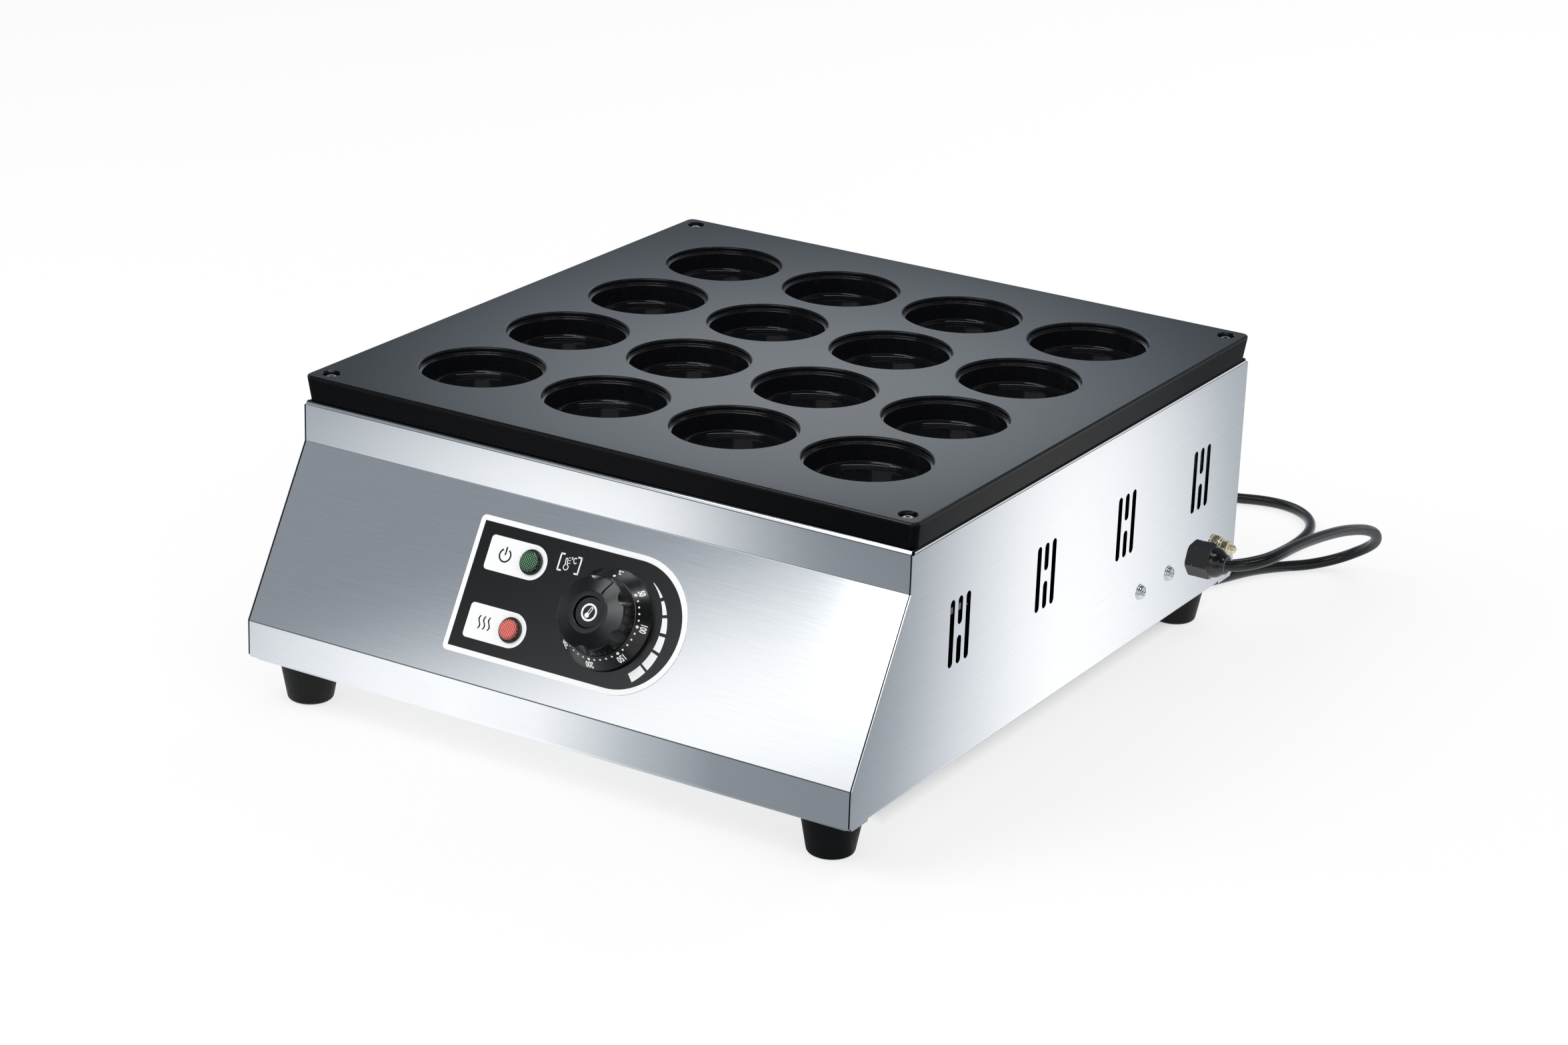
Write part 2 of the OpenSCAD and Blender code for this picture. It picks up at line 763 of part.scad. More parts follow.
// Section of the rear panel as [Y, Z]
module rear_section() {
    inner_r = bend_r - sheet_t;
    y = half_d - bend_r;
    polygon(concat(
        [[half_d - flange_w, top_z]],
        arc([y, top_z - bend_r], bend_r, 90, 0),
        arc([y, body_z + bend_r], bend_r, 0, -90),
        [[half_d - flange_w, body_z], [half_d - flange_w, body_z + sheet_t]],
        arc([y, body_z + bend_r], inner_r, -90, 0),
        arc([y, top_z - bend_r], inner_r, 0, 90),
        [[half_d - flange_w, top_z - sheet_t]]
    ));
}

module rear_panel() {
    inside_w = body_w - 2 * sheet_t;
    color([0.76, 0.77, 0.78])
        difference() {
            union() {
                difference() {
                    along_x(inside_w) rear_section();
                    flange_trim(half_d - bend_r - flange_w - 1);
                }
                for (s = [-1, 1])
                    translate([
                        s * (inside_w - sheet_t) / 2,
                        half_d - (return_w + sheet_t / 2) / 2,
                        body_z + body_h / 2
                    ])
                        cube([sheet_t, return_w - sheet_t / 2, body_h - 2 * bend_r], center = true);
            }
            base_screw_holes(base_screw_d + 0.1);
        }
}

module at_base_screws() {
    side_x = half_w - base_screw_in;
    for (sx = [-1, 1]) {
        for (y = [-0.375, 0, 0.325]) translate([sx * side_x, y * body_d, 0]) children();
        for (y = [front_y + base_screw_in, half_d - base_screw_in])
            translate([sx * 0.45 * half_w, y, 0]) children();
    }
}

module base_screw_holes(d) {
    at_base_screws() translate([0, 0, foot_h - 1]) cylinder(d = d, h = base_t + sheet_t + 3);
}

module at_feet() {
    for (sx = [-1, 1], y = [foot_front_y, foot_rear_y]) translate([sx * foot_x, y, 0]) children();
}

module base_plate() {
    deep = half_d - front_y - 2 * base_inset;
    color([0.7, 0.71, 0.72])
        difference() {
            translate([0, (half_d + front_y) / 2, foot_h])
                linear_extrude(height = base_t)
                    difference() {
                        rounded_square(body_w - 2 * base_inset, deep, base_inset);
                        for (i = [-3 : 3], s = [-1, 1])
                            translate([i * base_slot_pitch, s * base_slot_len])
                                slot_shape(base_slot_w, base_slot_len);
                    }
            base_screw_holes(base_screw_d + hole_clear);
            at_feet() translate([0, 0, foot_h - 1]) cylinder(d = foot_screw_d + hole_clear, h = base_t + 2);
        }
}

// Angle bracket under the flange at one corner, sx and sy choosing the corner
module corner_bracket(sx, sy) {
    inner_x = half_w - sheet_t;
    leg_y = half_d - return_w - seam - bracket_leg;
    tab_y = half_d - bend_r - seam - bracket_tab;
    tab_z = top_z - sheet_t - bracket_t;
    corner = bend_r - sheet_t + seam;
    color([0.72, 0.73, 0.74])
        mirror([sx < 0 ? 1 : 0, 0, 0])
            mirror([0, sy < 0 ? 1 : 0, 0])
                difference() {
                    union() {
                        translate([inner_x - bracket_t - bracket_tab, tab_y, tab_z])
                            cube([bracket_tab, bracket_tab, bracket_t]);
                        translate([inner_x - bracket_t - 1, leg_y, tab_z])
                            cube([1 + bracket_t - corner, bracket_leg, bracket_t]);
                        translate([inner_x - bracket_t, leg_y, tab_z + bracket_t - bracket_leg])
                            cube([bracket_t, bracket_leg, bracket_leg - corner]);
                    }
                    translate([well_x, well_y, tab_z - 1])
                        cylinder(d = plate_screw_d + 2 * hole_clear, h = bracket_t + 2);
                }
}

module bracket_front_left() { corner_bracket(-1, -1); }

module bracket_front_right() { corner_bracket(1, -1); }

module bracket_rear_left() { corner_bracket(-1, 1); }

module bracket_rear_right() { corner_bracket(1, 1); }

// Heating

// Hairpin element under two pocket rows, sy choosing the front or rear pair
module element(sy) {
    mid_y = sy * (pocket_mid - 0.5) * pitch_y;
    run = element_end_x - element_bend_x;
    color([0.35, 0.33, 0.32])
        translate([element_bend_x, mid_y, element_z]) {
            for (s = [-1, 1])
                translate([0, s * pitch_y / 2, 0]) rotate([0, 90, 0]) cylinder(d = element_d, h = run);
            rotate([0, 0, 90])
                rotate_extrude(angle = 180) translate([pitch_y / 2, 0]) circle(d = element_d);
        }
}

module element_front() { element(-1); }

module element_rear() { element(1); }

module element_terminals() {
    color([0.85, 0.84, 0.8])
        for (j = [0 : pocket_count - 1])
            translate([element_end_x, (j - pocket_mid) * pitch_y, element_z])
                rotate([0, 90, 0]) {
                    cylinder(d = element_d + 1.5, h = terminal_len * 0.4);
                    cylinder(d = element_d * 0.55, h = terminal_len);
                }
}

module clamp_bars() {
    len = pitch_y + 3 * element_d;
    color([0.6, 0.6, 0.61])
        at_clamps()
            translate([0, 0, clamp_z - clamp_t])
                linear_extrude(height = clamp_t)
                    difference() {
                        slot_shape(clamp_w, len);
                        circle(d = clamp_screw_d + 2 * hole_clear);
                    }
}

module clamp_screws() {
    color([0.7, 0.7, 0.7])
        at_clamps()
            translate([0, 0, clamp_z - clamp_t])
                mirror([0, 0, 1]) {
                    hexagon(clamp_screw_d * 1.6, clamp_head_h);
                    translate([0, 0, -clamp_t - clamp_grip])
                        cylinder(d = 0.98 * clamp_screw_d, h = clamp_t + clamp_grip + clamp_head_h / 2);
                }
}

module heat_shield() {
    half = half_w - sheet_t;
    color([0.66, 0.67, 0.68])
        difference() {
            along_y(shield_front_y, shield_rear_y)
                polygon([
                    [-half, shield_z - shield_lip], [-half, shield_z], [half, shield_z],
                    [half, shield_z - shield_lip], [half - shield_t, shield_z - shield_lip],
                    [half - shield_t, shield_z - shield_t], [-half + shield_t, shield_z - shield_t],
                    [-half + shield_t, shield_z - shield_lip]
                ]);
            for (s = [-1, 1])
                translate([element_end_x - shield_hole_d, s * pitch_y / 2, shield_z - 2 * shield_t])
                    cylinder(d = shield_hole_d, h = 3 * shield_t);
        }
}

// Controls

module thermostat_body() {
    color([0.3, 0.3, 0.32])
        on_slope(dial_x, dial_s)
            difference() {
                union() {
                    translate([0, 0, -sheet_t - 1])
                        linear_extrude(height = 1) rounded_square(2 * thermostat_screw_x + 12, 14, 4);
                    translate([0, 0, -sheet_t - 8])
                        linear_extrude(height = 7.5) rounded_square(thermostat_w - 12, 14, 2);
                    translate([0, 0, -sheet_t - thermostat_deep])
                        linear_extrude(height = thermostat_deep - 6)
                            rounded_square(thermostat_w, thermostat_w, 4);
                    translate([0, 0, -sheet_t - 2]) cylinder(d = thermostat_bush_d, h = sheet_t + 2 + bush_h);
                }
                translate([0, 0, spindle_foot - 0.5])
                    cylinder(d = spindle_d + 2 * spindle_clear, h = bush_h - spindle_foot + 1);
                for (s = [-1, 1])
                    translate([s * thermostat_screw_x, 0, -sheet_t - 5])
                        cylinder(d = thermostat_screw_d, h = 6);
            }
}

module thermostat_screws() {
    seat = overlay_t + dial_floor_h;
    color([0.8, 0.8, 0.8])
        for (s = [-1, 1])
            on_slope(dial_x + s * thermostat_screw_x, dial_s, seat) {
                pan_head(1.7 * thermostat_screw_d, screw_head_h);
                translate([0, 0, -seat - sheet_t - 3])
                    cylinder(d = thermostat_screw_d - 0.1, h = seat + sheet_t + 3.2);
            }
}

// Fine tube from the thermostat to its sensing bulb under the plate
module capillary_tube() {
    bulb_z = top_z - bulb_d / 2 - seam;
    step = capillary_step;
    under = shield_z + step;
    tail = -half_d - slope_run / 2 + thermostat_deep + seam;
    low = slope_low_z + slope_rise / 4;
    route = [
        [dial_x, tail, low],
        [dial_x + step, tail + step, low + 1.6 * step],
        [dial_x + 3 * step, shield_front_y - 2 * step, shield_z - 2 * step],
        [dial_x + 4 * step, shield_front_y - 1.5 * step, shield_z],
        [dial_x + 4.2 * step, shield_front_y + step, under],
        [dial_x + 4.2 * step, shield_front_y / 2, under],
        [dial_x + 3.6 * step, -2 * step, under + step / 4],
        [bulb_len / 2 + 2 * step, -step / 4, bulb_z - step],
        [bulb_len / 2 + step, 0, bulb_z],
        [bulb_len / 2 + step / 2, 0, bulb_z],
        [bulb_len / 2, 0, bulb_z]
    ];
    color([0.72, 0.45, 0.3]) tube(curve(route, 3), capillary_d, 8, [1, 0, 0]);
}

module sensing_bulb() {
    color([0.72, 0.45, 0.3])
        translate([-bulb_len / 2, 0, top_z - bulb_d / 2 - seam])
            rotate([0, 90, 0]) cylinder(d = bulb_d, h = bulb_len);
}

// Spindle with its driving flat, turned with the knob
module spindle_shape(clear) {
    r = spindle_d / 2 + clear;
    difference() {
        circle(r);
        translate([-2 * r, r - flat_cut]) square([4 * r, 2 * r]);
    }
}

module thermostat_spindle() {
    flat_from = overlay_t + dial_h - 3;
    color([0.7, 0.7, 0.72])
        on_slope(dial_x, dial_s)
            rotate([0, 0, -knob_turn]) {
                translate([0, 0, spindle_foot]) cylinder(d = spindle_d, h = flat_from - spindle_foot);
                translate([0, 0, flat_from])
                    linear_extrude(height = spindle_top - flat_from) spindle_shape(0);
            }
}

// Half section of the grip as [radius, height above its foot]
function grip_outline() = let (r = knob_d / 2, e = 1.2, top = knob_h - knob_fall) concat(
    [[r, 0], [r, 0.8]],
    arc([knob_shoulder_r - e, top - e], e, 0, 70, 4),
    [[ring_d / 2 + 0.6, knob_h - 0.5]],
    arc([ring_d / 2, knob_h - 0.5], 0.5, 0, 90, 2)
);

module grip_scallops() {
    lean = atan((scallop_depth + 0.4) / (knob_h - knob_fall));
    foot_x = knob_d / 2 + scallop_r + 0.3;
    for (i = [0 : scallop_count - 1])
        rotate([0, 0, 90 + (i + 0.5) * 360 / scallop_count])
            translate([foot_x, 0, 0.8])
                rotate([0, -lean, 0])
                    translate([0, 0, -4]) cylinder(r = scallop_r, h = 2 * knob_h);
}

module knob() {
    seat_r = cap_d / 2 + 0.2;
    color([0.09, 0.09, 0.1])
        on_slope(dial_x, dial_s, knob_foot)
            rotate([0, 0, -knob_turn])
                difference() {
                    rotate_extrude()
                        polygon(concat(
                            [[0, 0]],
                            grip_outline(),
                            [[seat_r, knob_h - 1.6], [seat_r, knob_h - cap_seat], [0, knob_h - cap_seat]]
                        ));
                    grip_scallops();
                    rotate_extrude()
                        polygon([
                            [hub_d / 2, -1], [knob_d / 2 - knob_wall - scallop_depth, -1],
                            [ring_d / 2 + 1, knob_h - knob_fall - knob_wall - 1.2],
                            [hub_d / 2, knob_h - cap_seat - knob_wall]
                        ]);
                    translate([0, 0, -1])
                        linear_extrude(height = spindle_top - knob_foot + 1.3) spindle_shape(0.05);
                    translate([-pointer_w / 2, ring_d / 2 + 0.6, knob_h - knob_fall - 2])
                        rotate([-asin(knob_fall / (knob_shoulder_r - ring_d / 2)), 0, 0])
                            translate([0, -1, knob_fall + 1.5 - pointer_deep])
                                cube([pointer_w, knob_d / 2, 4]);
                }
}

module knob_cap() {
    seat = knob_top - cap_seat;
    color([0.13, 0.13, 0.14])
        on_slope(dial_x, dial_s, seat)
            rotate_extrude()
                polygon(concat(
                    [[0, 0], [cap_d / 2, 0]],
                    arc([cap_d / 2 - 0.5, cap_t - 0.5], 0.5, 0, 90, 3),
                    [[0, cap_t]]
                ));
}

// Fixed ring that carries the heat marks, standing on the overlay
module dial_plate() {
    r = dial_d / 2;
    top_r = dial_top_d / 2;
    well_r = knob_d / 2 - 4;
    color([0.1, 0.1, 0.11])
        on_slope(dial_x, dial_s, overlay_t)
            difference() {
                rotate_extrude()
                    polygon(concat(
                        [[thermostat_bush_d / 2 + 0.3, 0], [r, 0], [r, dial_edge_h - 0.5]],
                        arc([r - 0.5, dial_edge_h - 0.5], 0.5, 0, 45, 2),
                        arc([top_r - 0.6, dial_h - 0.6], 0.6, 45, 90, 2),
                        [
                            [well_r + 1, dial_h], [well_r, dial_h - 1], [well_r, dial_floor_h],
                            [thermostat_bush_d / 2 + 0.3, dial_floor_h]
                        ]
                    ));
                for (s = [-1, 1])
                    translate([s * thermostat_screw_x, 0, -1])
                        cylinder(d = thermostat_screw_d + hole_clear, h = dial_floor_h + 2);
            }
}

// Outline with square left corners and a round right end
module overlay_shape() {
    r = overlay_h / 2;
    corner = 3;
    translate([overlay_left + corner, -r]) square([overlay_w - corner - r, overlay_h]);
    translate([overlay_left, -r + corner]) square([corner + 1, overlay_h - 2 * corner]);
    for (s = [-1, 1]) translate([overlay_left + corner, s * (r - corner)]) circle(corner);
    translate([overlay_left + overlay_w - r, 0]) circle(r);
}

module control_overlay() {
    color([0.14, 0.15, 0.16])
        on_slope(0, dial_s)
            linear_extrude(height = overlay_t)
                difference() {
                    overlay_shape();
                    translate([dial_x, 0]) circle(d = panel_hole_d);
                    for (s = [-1, 1]) {
                        translate([dial_x + s * thermostat_screw_x, 0])
                            circle(d = thermostat_screw_d + hole_clear);
                        translate([lamp_x, s * lamp_pitch / 2]) circle(d = lamp_tube_d + lamp_hole_clear);
                    }
                }
}

// Tube with a rim that holds a lens, s = 1 above and -1 below
module lamp_body(s) {
    color([0.1, 0.1, 0.11])
        on_slope(lamp_x, dial_s - s * lamp_pitch / 2)
            difference() {
                union() {
                    translate([0, 0, -sheet_t - lamp_deep])
                        cylinder(d = lamp_tube_d, h = lamp_deep + sheet_t + overlay_t + 0.2);
                    translate([0, 0, overlay_t])
                        cylinder(d1 = lamp_rim_d, d2 = lamp_rim_d - 1, h = lamp_rim_h);
                }
                translate([0, 0, overlay_t + lamp_rim_h / 2]) cylinder(d = lamp_lens_d + 0.1, h = lamp_rim_h);
            }
}

module lamp_lens(s, tint) {
    color(tint)
        on_slope(lamp_x, dial_s - s * lamp_pitch / 2, overlay_t + lamp_rim_h / 2)
            rotate_extrude()
                polygon(concat(
                    [[0, 0], [lamp_lens_d / 2, 0]],
                    arc([lamp_lens_d / 2 - 1.2, lamp_lens_h - 1.2], 1.2, 0, 80, 4),
                    [[0, lamp_lens_h + 0.5]]
                ));
}

module green_lamp_lens() { lamp_lens(1, [0.1, 0.5, 0.25]); }

module green_lamp_body() { lamp_body(1); }

module red_lamp_lens() { lamp_lens(-1, [0.8, 0.12, 0.1]); }

module red_lamp_body() { lamp_body(-1); }

module lamp_nuts() {
    color([0.2, 0.2, 0.2])
        for (s = [-1, 1])
            on_slope(lamp_x, dial_s + s * lamp_pitch / 2, -sheet_t - lamp_nut_h)
                washer(lamp_nut_d, lamp_tube_d + 0.1, lamp_nut_h);
}

// Side fittings

module at_terminal_screws(h) {
    for (i = [0, 1]) on_right(screw_y + i * screw_pitch, fitting_z, h) children();
}

module terminal_block() {
    y0 = screw_y - block_margin;
    len = screw_pitch + 2 * block_margin;
    x1 = half_w - sheet_t;
    color([0.85, 0.84, 0.8])
        difference() {
            translate([x1 - block_deep, y0, fitting_z - block_h / 2]) cube([block_deep, len, block_h]);
            for (i = [0 : 2], s = [-1, 1])
                translate([
                    x1 - block_deep * 0.4,
                    screw_y + screw_pitch * (0.22 + 0.28 * i),
                    fitting_z + s * block_h / 2
                ])
                    cube([9, 7, 10], center = true);
            at_terminal_screws(-sheet_t - block_deep - 1)
                cylinder(d = screw_d + hole_clear, h = block_deep + 2);
        }
}

module terminal_screws() {
    len = sheet_t + block_deep + nut_h + 2;
    color([0.8, 0.8, 0.8])
        at_terminal_screws(0) {
            washer(washer_d, screw_d + hole_clear, washer_t);
            translate([0, 0, washer_t]) pan_head(screw_head_d, screw_head_h + 0.4);
            translate([0, 0, -len]) cylinder(d = screw_d, h = len + washer_t + 0.1);
        }
}

module terminal_nuts() {
    color([0.75, 0.75, 0.75])
        at_terminal_screws(-sheet_t - block_deep - nut_h) hex_nut(nut_af, nut_h, screw_d);
}

module gland_body() {
    color([0.09, 0.09, 0.1])
        on_right(gland_y, fitting_z)
            difference() {
                union() {
                    rotate([0, 0, gland_turn]) hexagon(gland_af, gland_collar_h);
                    translate([0, 0, -sheet_t - gland_thread_len])
                        cylinder(d = gland_thread_d, h = gland_thread_len + sheet_t + 1);
                }
                translate([0, 0, -sheet_t - gland_thread_len - 1])
                    cylinder(
                        d = cord_d + 2 * cord_clear,
                        h = gland_thread_len + gland_collar_h + sheet_t + 2
                    );
            }
}

module gland_cap() {
    dome_z = gland_hex_h;
    dome_r = gland_af / 2;
    color([0.09, 0.09, 0.1])
        on_right(gland_y, fitting_z, gland_collar_h)
            difference() {
                union() {
                    intersection() {
                        rotate([0, 0, gland_turn]) hexagon(gland_af, gland_hex_h);
                        cylinder(r1 = 0.7 * gland_af, r2 = 0.56 * gland_af, h = gland_hex_h);
                    }
                    translate([0, 0, dome_z - 1])
                        rotate_extrude()
                            polygon(concat(
                                [[0, 0], [dome_r, 0], [dome_r, 1]],
                                [for (i = [1 : 6]) let (a = 90 * i / 6) [
                                    dome_mouth_r + (dome_r - dome_mouth_r) * cos(a),
                                    1 + gland_dome_h * sin(a)
                                ]],
                                [[0, 1 + gland_dome_h]]
                            ));
                }
                translate([0, 0, -1]) cylinder(d = cord_d + 2 * cord_clear, h = gland_reach + 2);
            }
}

module gland_locknut() {
    color([0.09, 0.09, 0.1])
        on_right(gland_y, fitting_z, -sheet_t - gland_nut_h)
            difference() {
                hexagon(gland_af + 3, gland_nut_h);
                translate([0, 0, -1]) cylinder(d = gland_thread_d + 0.1, h = gland_nut_h + 2);
            }
}

// Stack of the earth stud, measured outwards from the panel
spacer_h0 = earth_washer_t;
outer_washer_h0 = spacer_h0 + earth_spacer_h;
spring_h0 = outer_washer_h0 + earth_washer_t;
earth_nut_h0 = spring_h0 + spring_washer_t;

module earth_stud() {
    color([0.78, 0.66, 0.36])
        on_right(stud_y, fitting_z, -sheet_t) {
            translate([0, 0, -earth_head_h]) hexagon(earth_nut_af, earth_head_h);
            translate([0, 0, -earth_head_h / 2])
                cylinder(d = stud_root_d, h = earth_head_h / 2 + sheet_t + stud_reach - stud_free / 2);
            translate([0, 0, sheet_t + stud_reach - stud_free]) cylinder(d = stud_d, h = stud_free);
        }
}

module earth_washers() {
    color([0.8, 0.72, 0.45])
        on_right(stud_y, fitting_z) {
            washer(earth_washer_d, stud_d + 0.2, earth_washer_t);
            translate([0, 0, outer_washer_h0]) washer(earth_washer_d - 1.5, stud_d + 0.2, earth_washer_t);
            translate([0, 0, spring_h0]) washer(spring_washer_d, stud_d + 0.2, spring_washer_t);
        }
}

module earth_nuts() {
    color([0.78, 0.68, 0.38])
        on_right(stud_y, fitting_z) {
            translate([0, 0, spacer_h0]) hex_nut(earth_spacer_af, earth_spacer_h, stud_root_d);
            translate([0, 0, earth_nut_h0]) rotate([0, 0, 20])
                hex_nut(earth_nut_af, earth_nut_h, stud_root_d);
        }
}

// Feet and base screws

module rubber_foot() {
    r0 = foot_bottom_d / 2;
    lean = atan((foot_top_d - foot_bottom_d) / 2 / foot_h);
    color([0.06, 0.06, 0.06])
        difference() {
            rotate_extrude()
                polygon(concat(
                    [[0, 0], [r0 - foot_edge_r, 0]],
                    arc([r0 - foot_edge_r, foot_edge_r], foot_edge_r, -90, -lean, 5),
                    [[foot_top_d / 2, foot_h], [0, foot_h]]
                ));
            translate([0, 0, -1]) cylinder(d = foot_well_d, h = foot_well_h + 1);
            cylinder(d = foot_screw_d + hole_clear, h = foot_h + 1);
        }
}

module foot_front_left() { translate([-foot_x, foot_front_y, 0]) rubber_foot(); }

module foot_front_right() { translate([foot_x, foot_front_y, 0]) rubber_foot(); }

module foot_rear_left() { translate([-foot_x, foot_rear_y, 0]) rubber_foot(); }

module foot_rear_right() { translate([foot_x, foot_rear_y, 0]) rubber_foot(); }

module foot_screws() {
    tip_z = body_z + foot_nut_h + 1.5;
    color([0.8, 0.8, 0.8])
        at_feet()
            translate([0, 0, foot_well_h]) {
                mirror([0, 0, 1]) pan_head(foot_well_d - 1.5, 3.2);
                translate([0, 0, -0.5]) cylinder(d = foot_screw_d, h = tip_z - foot_well_h + 0.5);
            }
}

module foot_nuts() {
    color([0.75, 0.75, 0.75])
        at_feet() translate([0, 0, body_z]) hex_nut(foot_nut_af, foot_nut_h, foot_screw_d);
}

module base_screws() {
    color([0.8, 0.8, 0.8])
        at_base_screws()
            translate([0, 0, foot_h]) {
                mirror([0, 0, 1]) pan_head(base_screw_head_d, 2.2);
                translate([0, 0, -0.2]) cylinder(d = base_screw_d, h = base_screw_len);
            }
}

// Mains lead

module power_cord() {
    color([0.05, 0.05, 0.05]) tube(curve(cord_route, 2), cord_d, cord_sides);
}

// Coil that spirals in on the floor, climbs a layer and spirals out again
function coil_point(a) = let (
    in = a < coil_half,
    r = coil_r - coil_pitch * (in ? a : 2 * coil_half - a) / 360,
    rise = min(max((a - coil_half + 90) / 180, 0), 1),
    ease = rise * rise * (3 - 2 * rise)
) [
    coil_centre.x + r * cos(90 + a),
    coil_centre.y + r * sin(90 + a),
    coil_z + coil_pitch * ease
];

coil_steps = round(2 * coil_half / 360 * coil_rings);
coil_end = coil_point(2 * coil_half);
tail_dir = [-sin(90 + 2 * coil_half), cos(90 + 2 * coil_half), 0];
plug_start = coil_end + tail_len * tail_dir;

module cord_coil() {
    turns = [for (i = [0 : coil_steps]) coil_point(2 * coil_half * i / coil_steps)];
    path = concat(
        [turns[0] + [cord_d, 0, 0], turns[0] + [cord_d / 2, 0, 0]],
        turns,
        [coil_end + tail_len / 2 * tail_dir, plug_start]
    );
    echo(coil_least_gap = least_gap(path, coil_rings / 4, cord_d));
    color([0.05, 0.05, 0.05]) tube(path, cord_d, coil_sides);
}

// Strap round all the turns, across the side of the coil away from its ends
module cord_tie() {
    inner_turn = floor(coil_turns - 0.25) + 0.5;
    out_r = coil_r - coil_pitch / 2 + cord_r + tie_clear;
    in_r = coil_r - coil_pitch * inner_turn - cord_r - tie_clear;
    low = coil_z - cord_r - tie_clear;
    high = coil_z + coil_pitch + cord_r + tie_clear;
    mid = [(in_r + out_r) / 2, (low + high) / 2];
    w = out_r - in_r;
    h = high - low;
    color([0.12, 0.12, 0.12])
        translate([coil_centre.x, coil_centre.y, 0])
            rotate([0, 0, -90])
                translate([mid.x, 0, mid.y])
                    rotate([90, 0, 0])
                        linear_extrude(height = tie_w, center = true)
                            difference() {
                                rounded_square(w + 2 * tie_t, h + 2 * tie_t, 3);
                                rounded_square(w, h, 2);
                            }
}

// Stands a piece at the end of the coil, X along the lead
module at_plug() {
    translate(plug_start) rotate([0, 0, atan2(tail_dir.y, tail_dir.x)]) children();
}

module plug_body() {
    waist = plug_w * 0.36;
    color([0.07, 0.07, 0.07])
        at_plug() {
            rotate([0, 90, 0]) cylinder(d1 = cord_d + 2, d2 = cord_d + 6, h = plug_relief_len);
            translate([plug_relief_len - 0.5, 0, -plug_t / 2])
                linear_extrude(height = plug_t)
                    difference() {
                        translate([0, -plug_w / 2]) square([plug_len, plug_w]);
                        for (s = [-1, 1])
                            translate([0, s * (waist / 2 + plug_len * 0.55)]) circle(plug_len * 0.55);
                    }
        }
}

module plug_pins() {
    color([0.8, 0.78, 0.7])
        at_plug()
            translate([plug_relief_len + plug_len - 0.5, 0, 0])
                for (p = [[0, 7.5, 60], [0, -7.5, -60], [0, 0, 0]])
                    translate([pin_len / 2, p.y, p.y == 0 ? -5 : 3])
                        rotate([p.z, 0, 0]) cube([pin_len, pin_t, pin_w], center = true);
}

framed() mould_plate();
framed() plate_screws();
framed() plate_nuts();
framed() front_panel();
framed() left_side_panel();
framed() right_side_panel();
framed() rear_panel();
framed() base_plate();
framed() bracket_front_left();
framed() bracket_front_right();
framed() bracket_rear_left();
framed() bracket_rear_right();
framed() element_front();
framed() element_rear();
framed() element_terminals();
framed() clamp_bars();
framed() clamp_screws();
framed() heat_shield();
framed() thermostat_body();
framed() thermostat_screws();
framed() capillary_tube();
framed() sensing_bulb();
framed() thermostat_spindle();
framed() knob();
framed() knob_cap();
framed() dial_plate();
framed() control_overlay();
framed() green_lamp_lens();
framed() green_lamp_body();
framed() red_lamp_lens();
framed() red_lamp_body();
framed() lamp_nuts();
framed() terminal_block();
framed() terminal_screws();
framed() terminal_nuts();
framed() gland_body();
framed() gland_cap();
framed() gland_locknut();
framed() earth_stud();
framed() earth_washers();
framed() earth_nuts();
framed() foot_front_left();
framed() foot_front_right();
framed() foot_rear_left();
framed() foot_rear_right();
framed() foot_screws();
framed() foot_nuts();
framed() base_screws();
framed() power_cord();
framed() cord_coil();
framed() cord_tie();
framed() plug_body();
framed() plug_pins();
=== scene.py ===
# %% [markdown]
# # An egg burger maker, dressed in Blender
# The object is a countertop cooker with sixteen round pockets in a coated, cast plate. The plate sits on a folded
# stainless housing with a sloping control front. The CAD model is loaded first as a fixed frame, so every piece
# below is made at the place and size that the CAD gives it, and only shape detail and finish are added here.

# %% Load the CAD frame
import json
import math
import bmesh
import bpy
from mathutils import Matrix, Vector


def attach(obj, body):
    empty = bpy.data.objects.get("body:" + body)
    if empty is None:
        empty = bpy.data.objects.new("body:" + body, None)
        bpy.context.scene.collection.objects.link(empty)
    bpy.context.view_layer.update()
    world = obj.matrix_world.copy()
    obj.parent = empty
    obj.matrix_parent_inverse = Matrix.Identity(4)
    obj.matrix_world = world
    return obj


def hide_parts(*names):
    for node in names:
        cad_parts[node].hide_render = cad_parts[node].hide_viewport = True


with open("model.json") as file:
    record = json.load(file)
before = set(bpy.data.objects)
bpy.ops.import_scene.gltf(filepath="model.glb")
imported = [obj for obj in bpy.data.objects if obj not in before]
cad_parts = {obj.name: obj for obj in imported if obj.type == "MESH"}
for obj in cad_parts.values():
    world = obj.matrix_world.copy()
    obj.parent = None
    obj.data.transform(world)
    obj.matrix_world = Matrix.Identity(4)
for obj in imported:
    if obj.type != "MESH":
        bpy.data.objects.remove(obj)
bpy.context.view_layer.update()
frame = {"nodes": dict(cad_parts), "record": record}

nodes = frame["nodes"]
scene = bpy.context.scene

# %% [markdown]
# The drawing of the object is in millimetres about the middle of the housing, while Blender works in metres. Two
# values carry the whole difference: the length of a millimetre, and the small shift that centres the CAD model.
# The housing's own main sizes are repeated here, because the places of the printed and fitted pieces hang on them.

# %% Main sizes
MM = 0.001
SHIFT = Vector((-11.2, 26.55, 0))
HALF_W, HALF_D = 199.2, 200.8
TOP_Z, SLOPE_TOP_Z, SLOPE_LEAN = 166.3, 142.2, 29.73
PLATE_T = 15.0
PLATE_TOP_Z = TOP_Z + PLATE_T
FITTING_Z, GLAND_Y, STUD_Y = 56.5, 142.0, 168.5
SCREW_YS = (72.0, 109.0)
print("plate top in millimetres:", PLATE_TOP_Z)

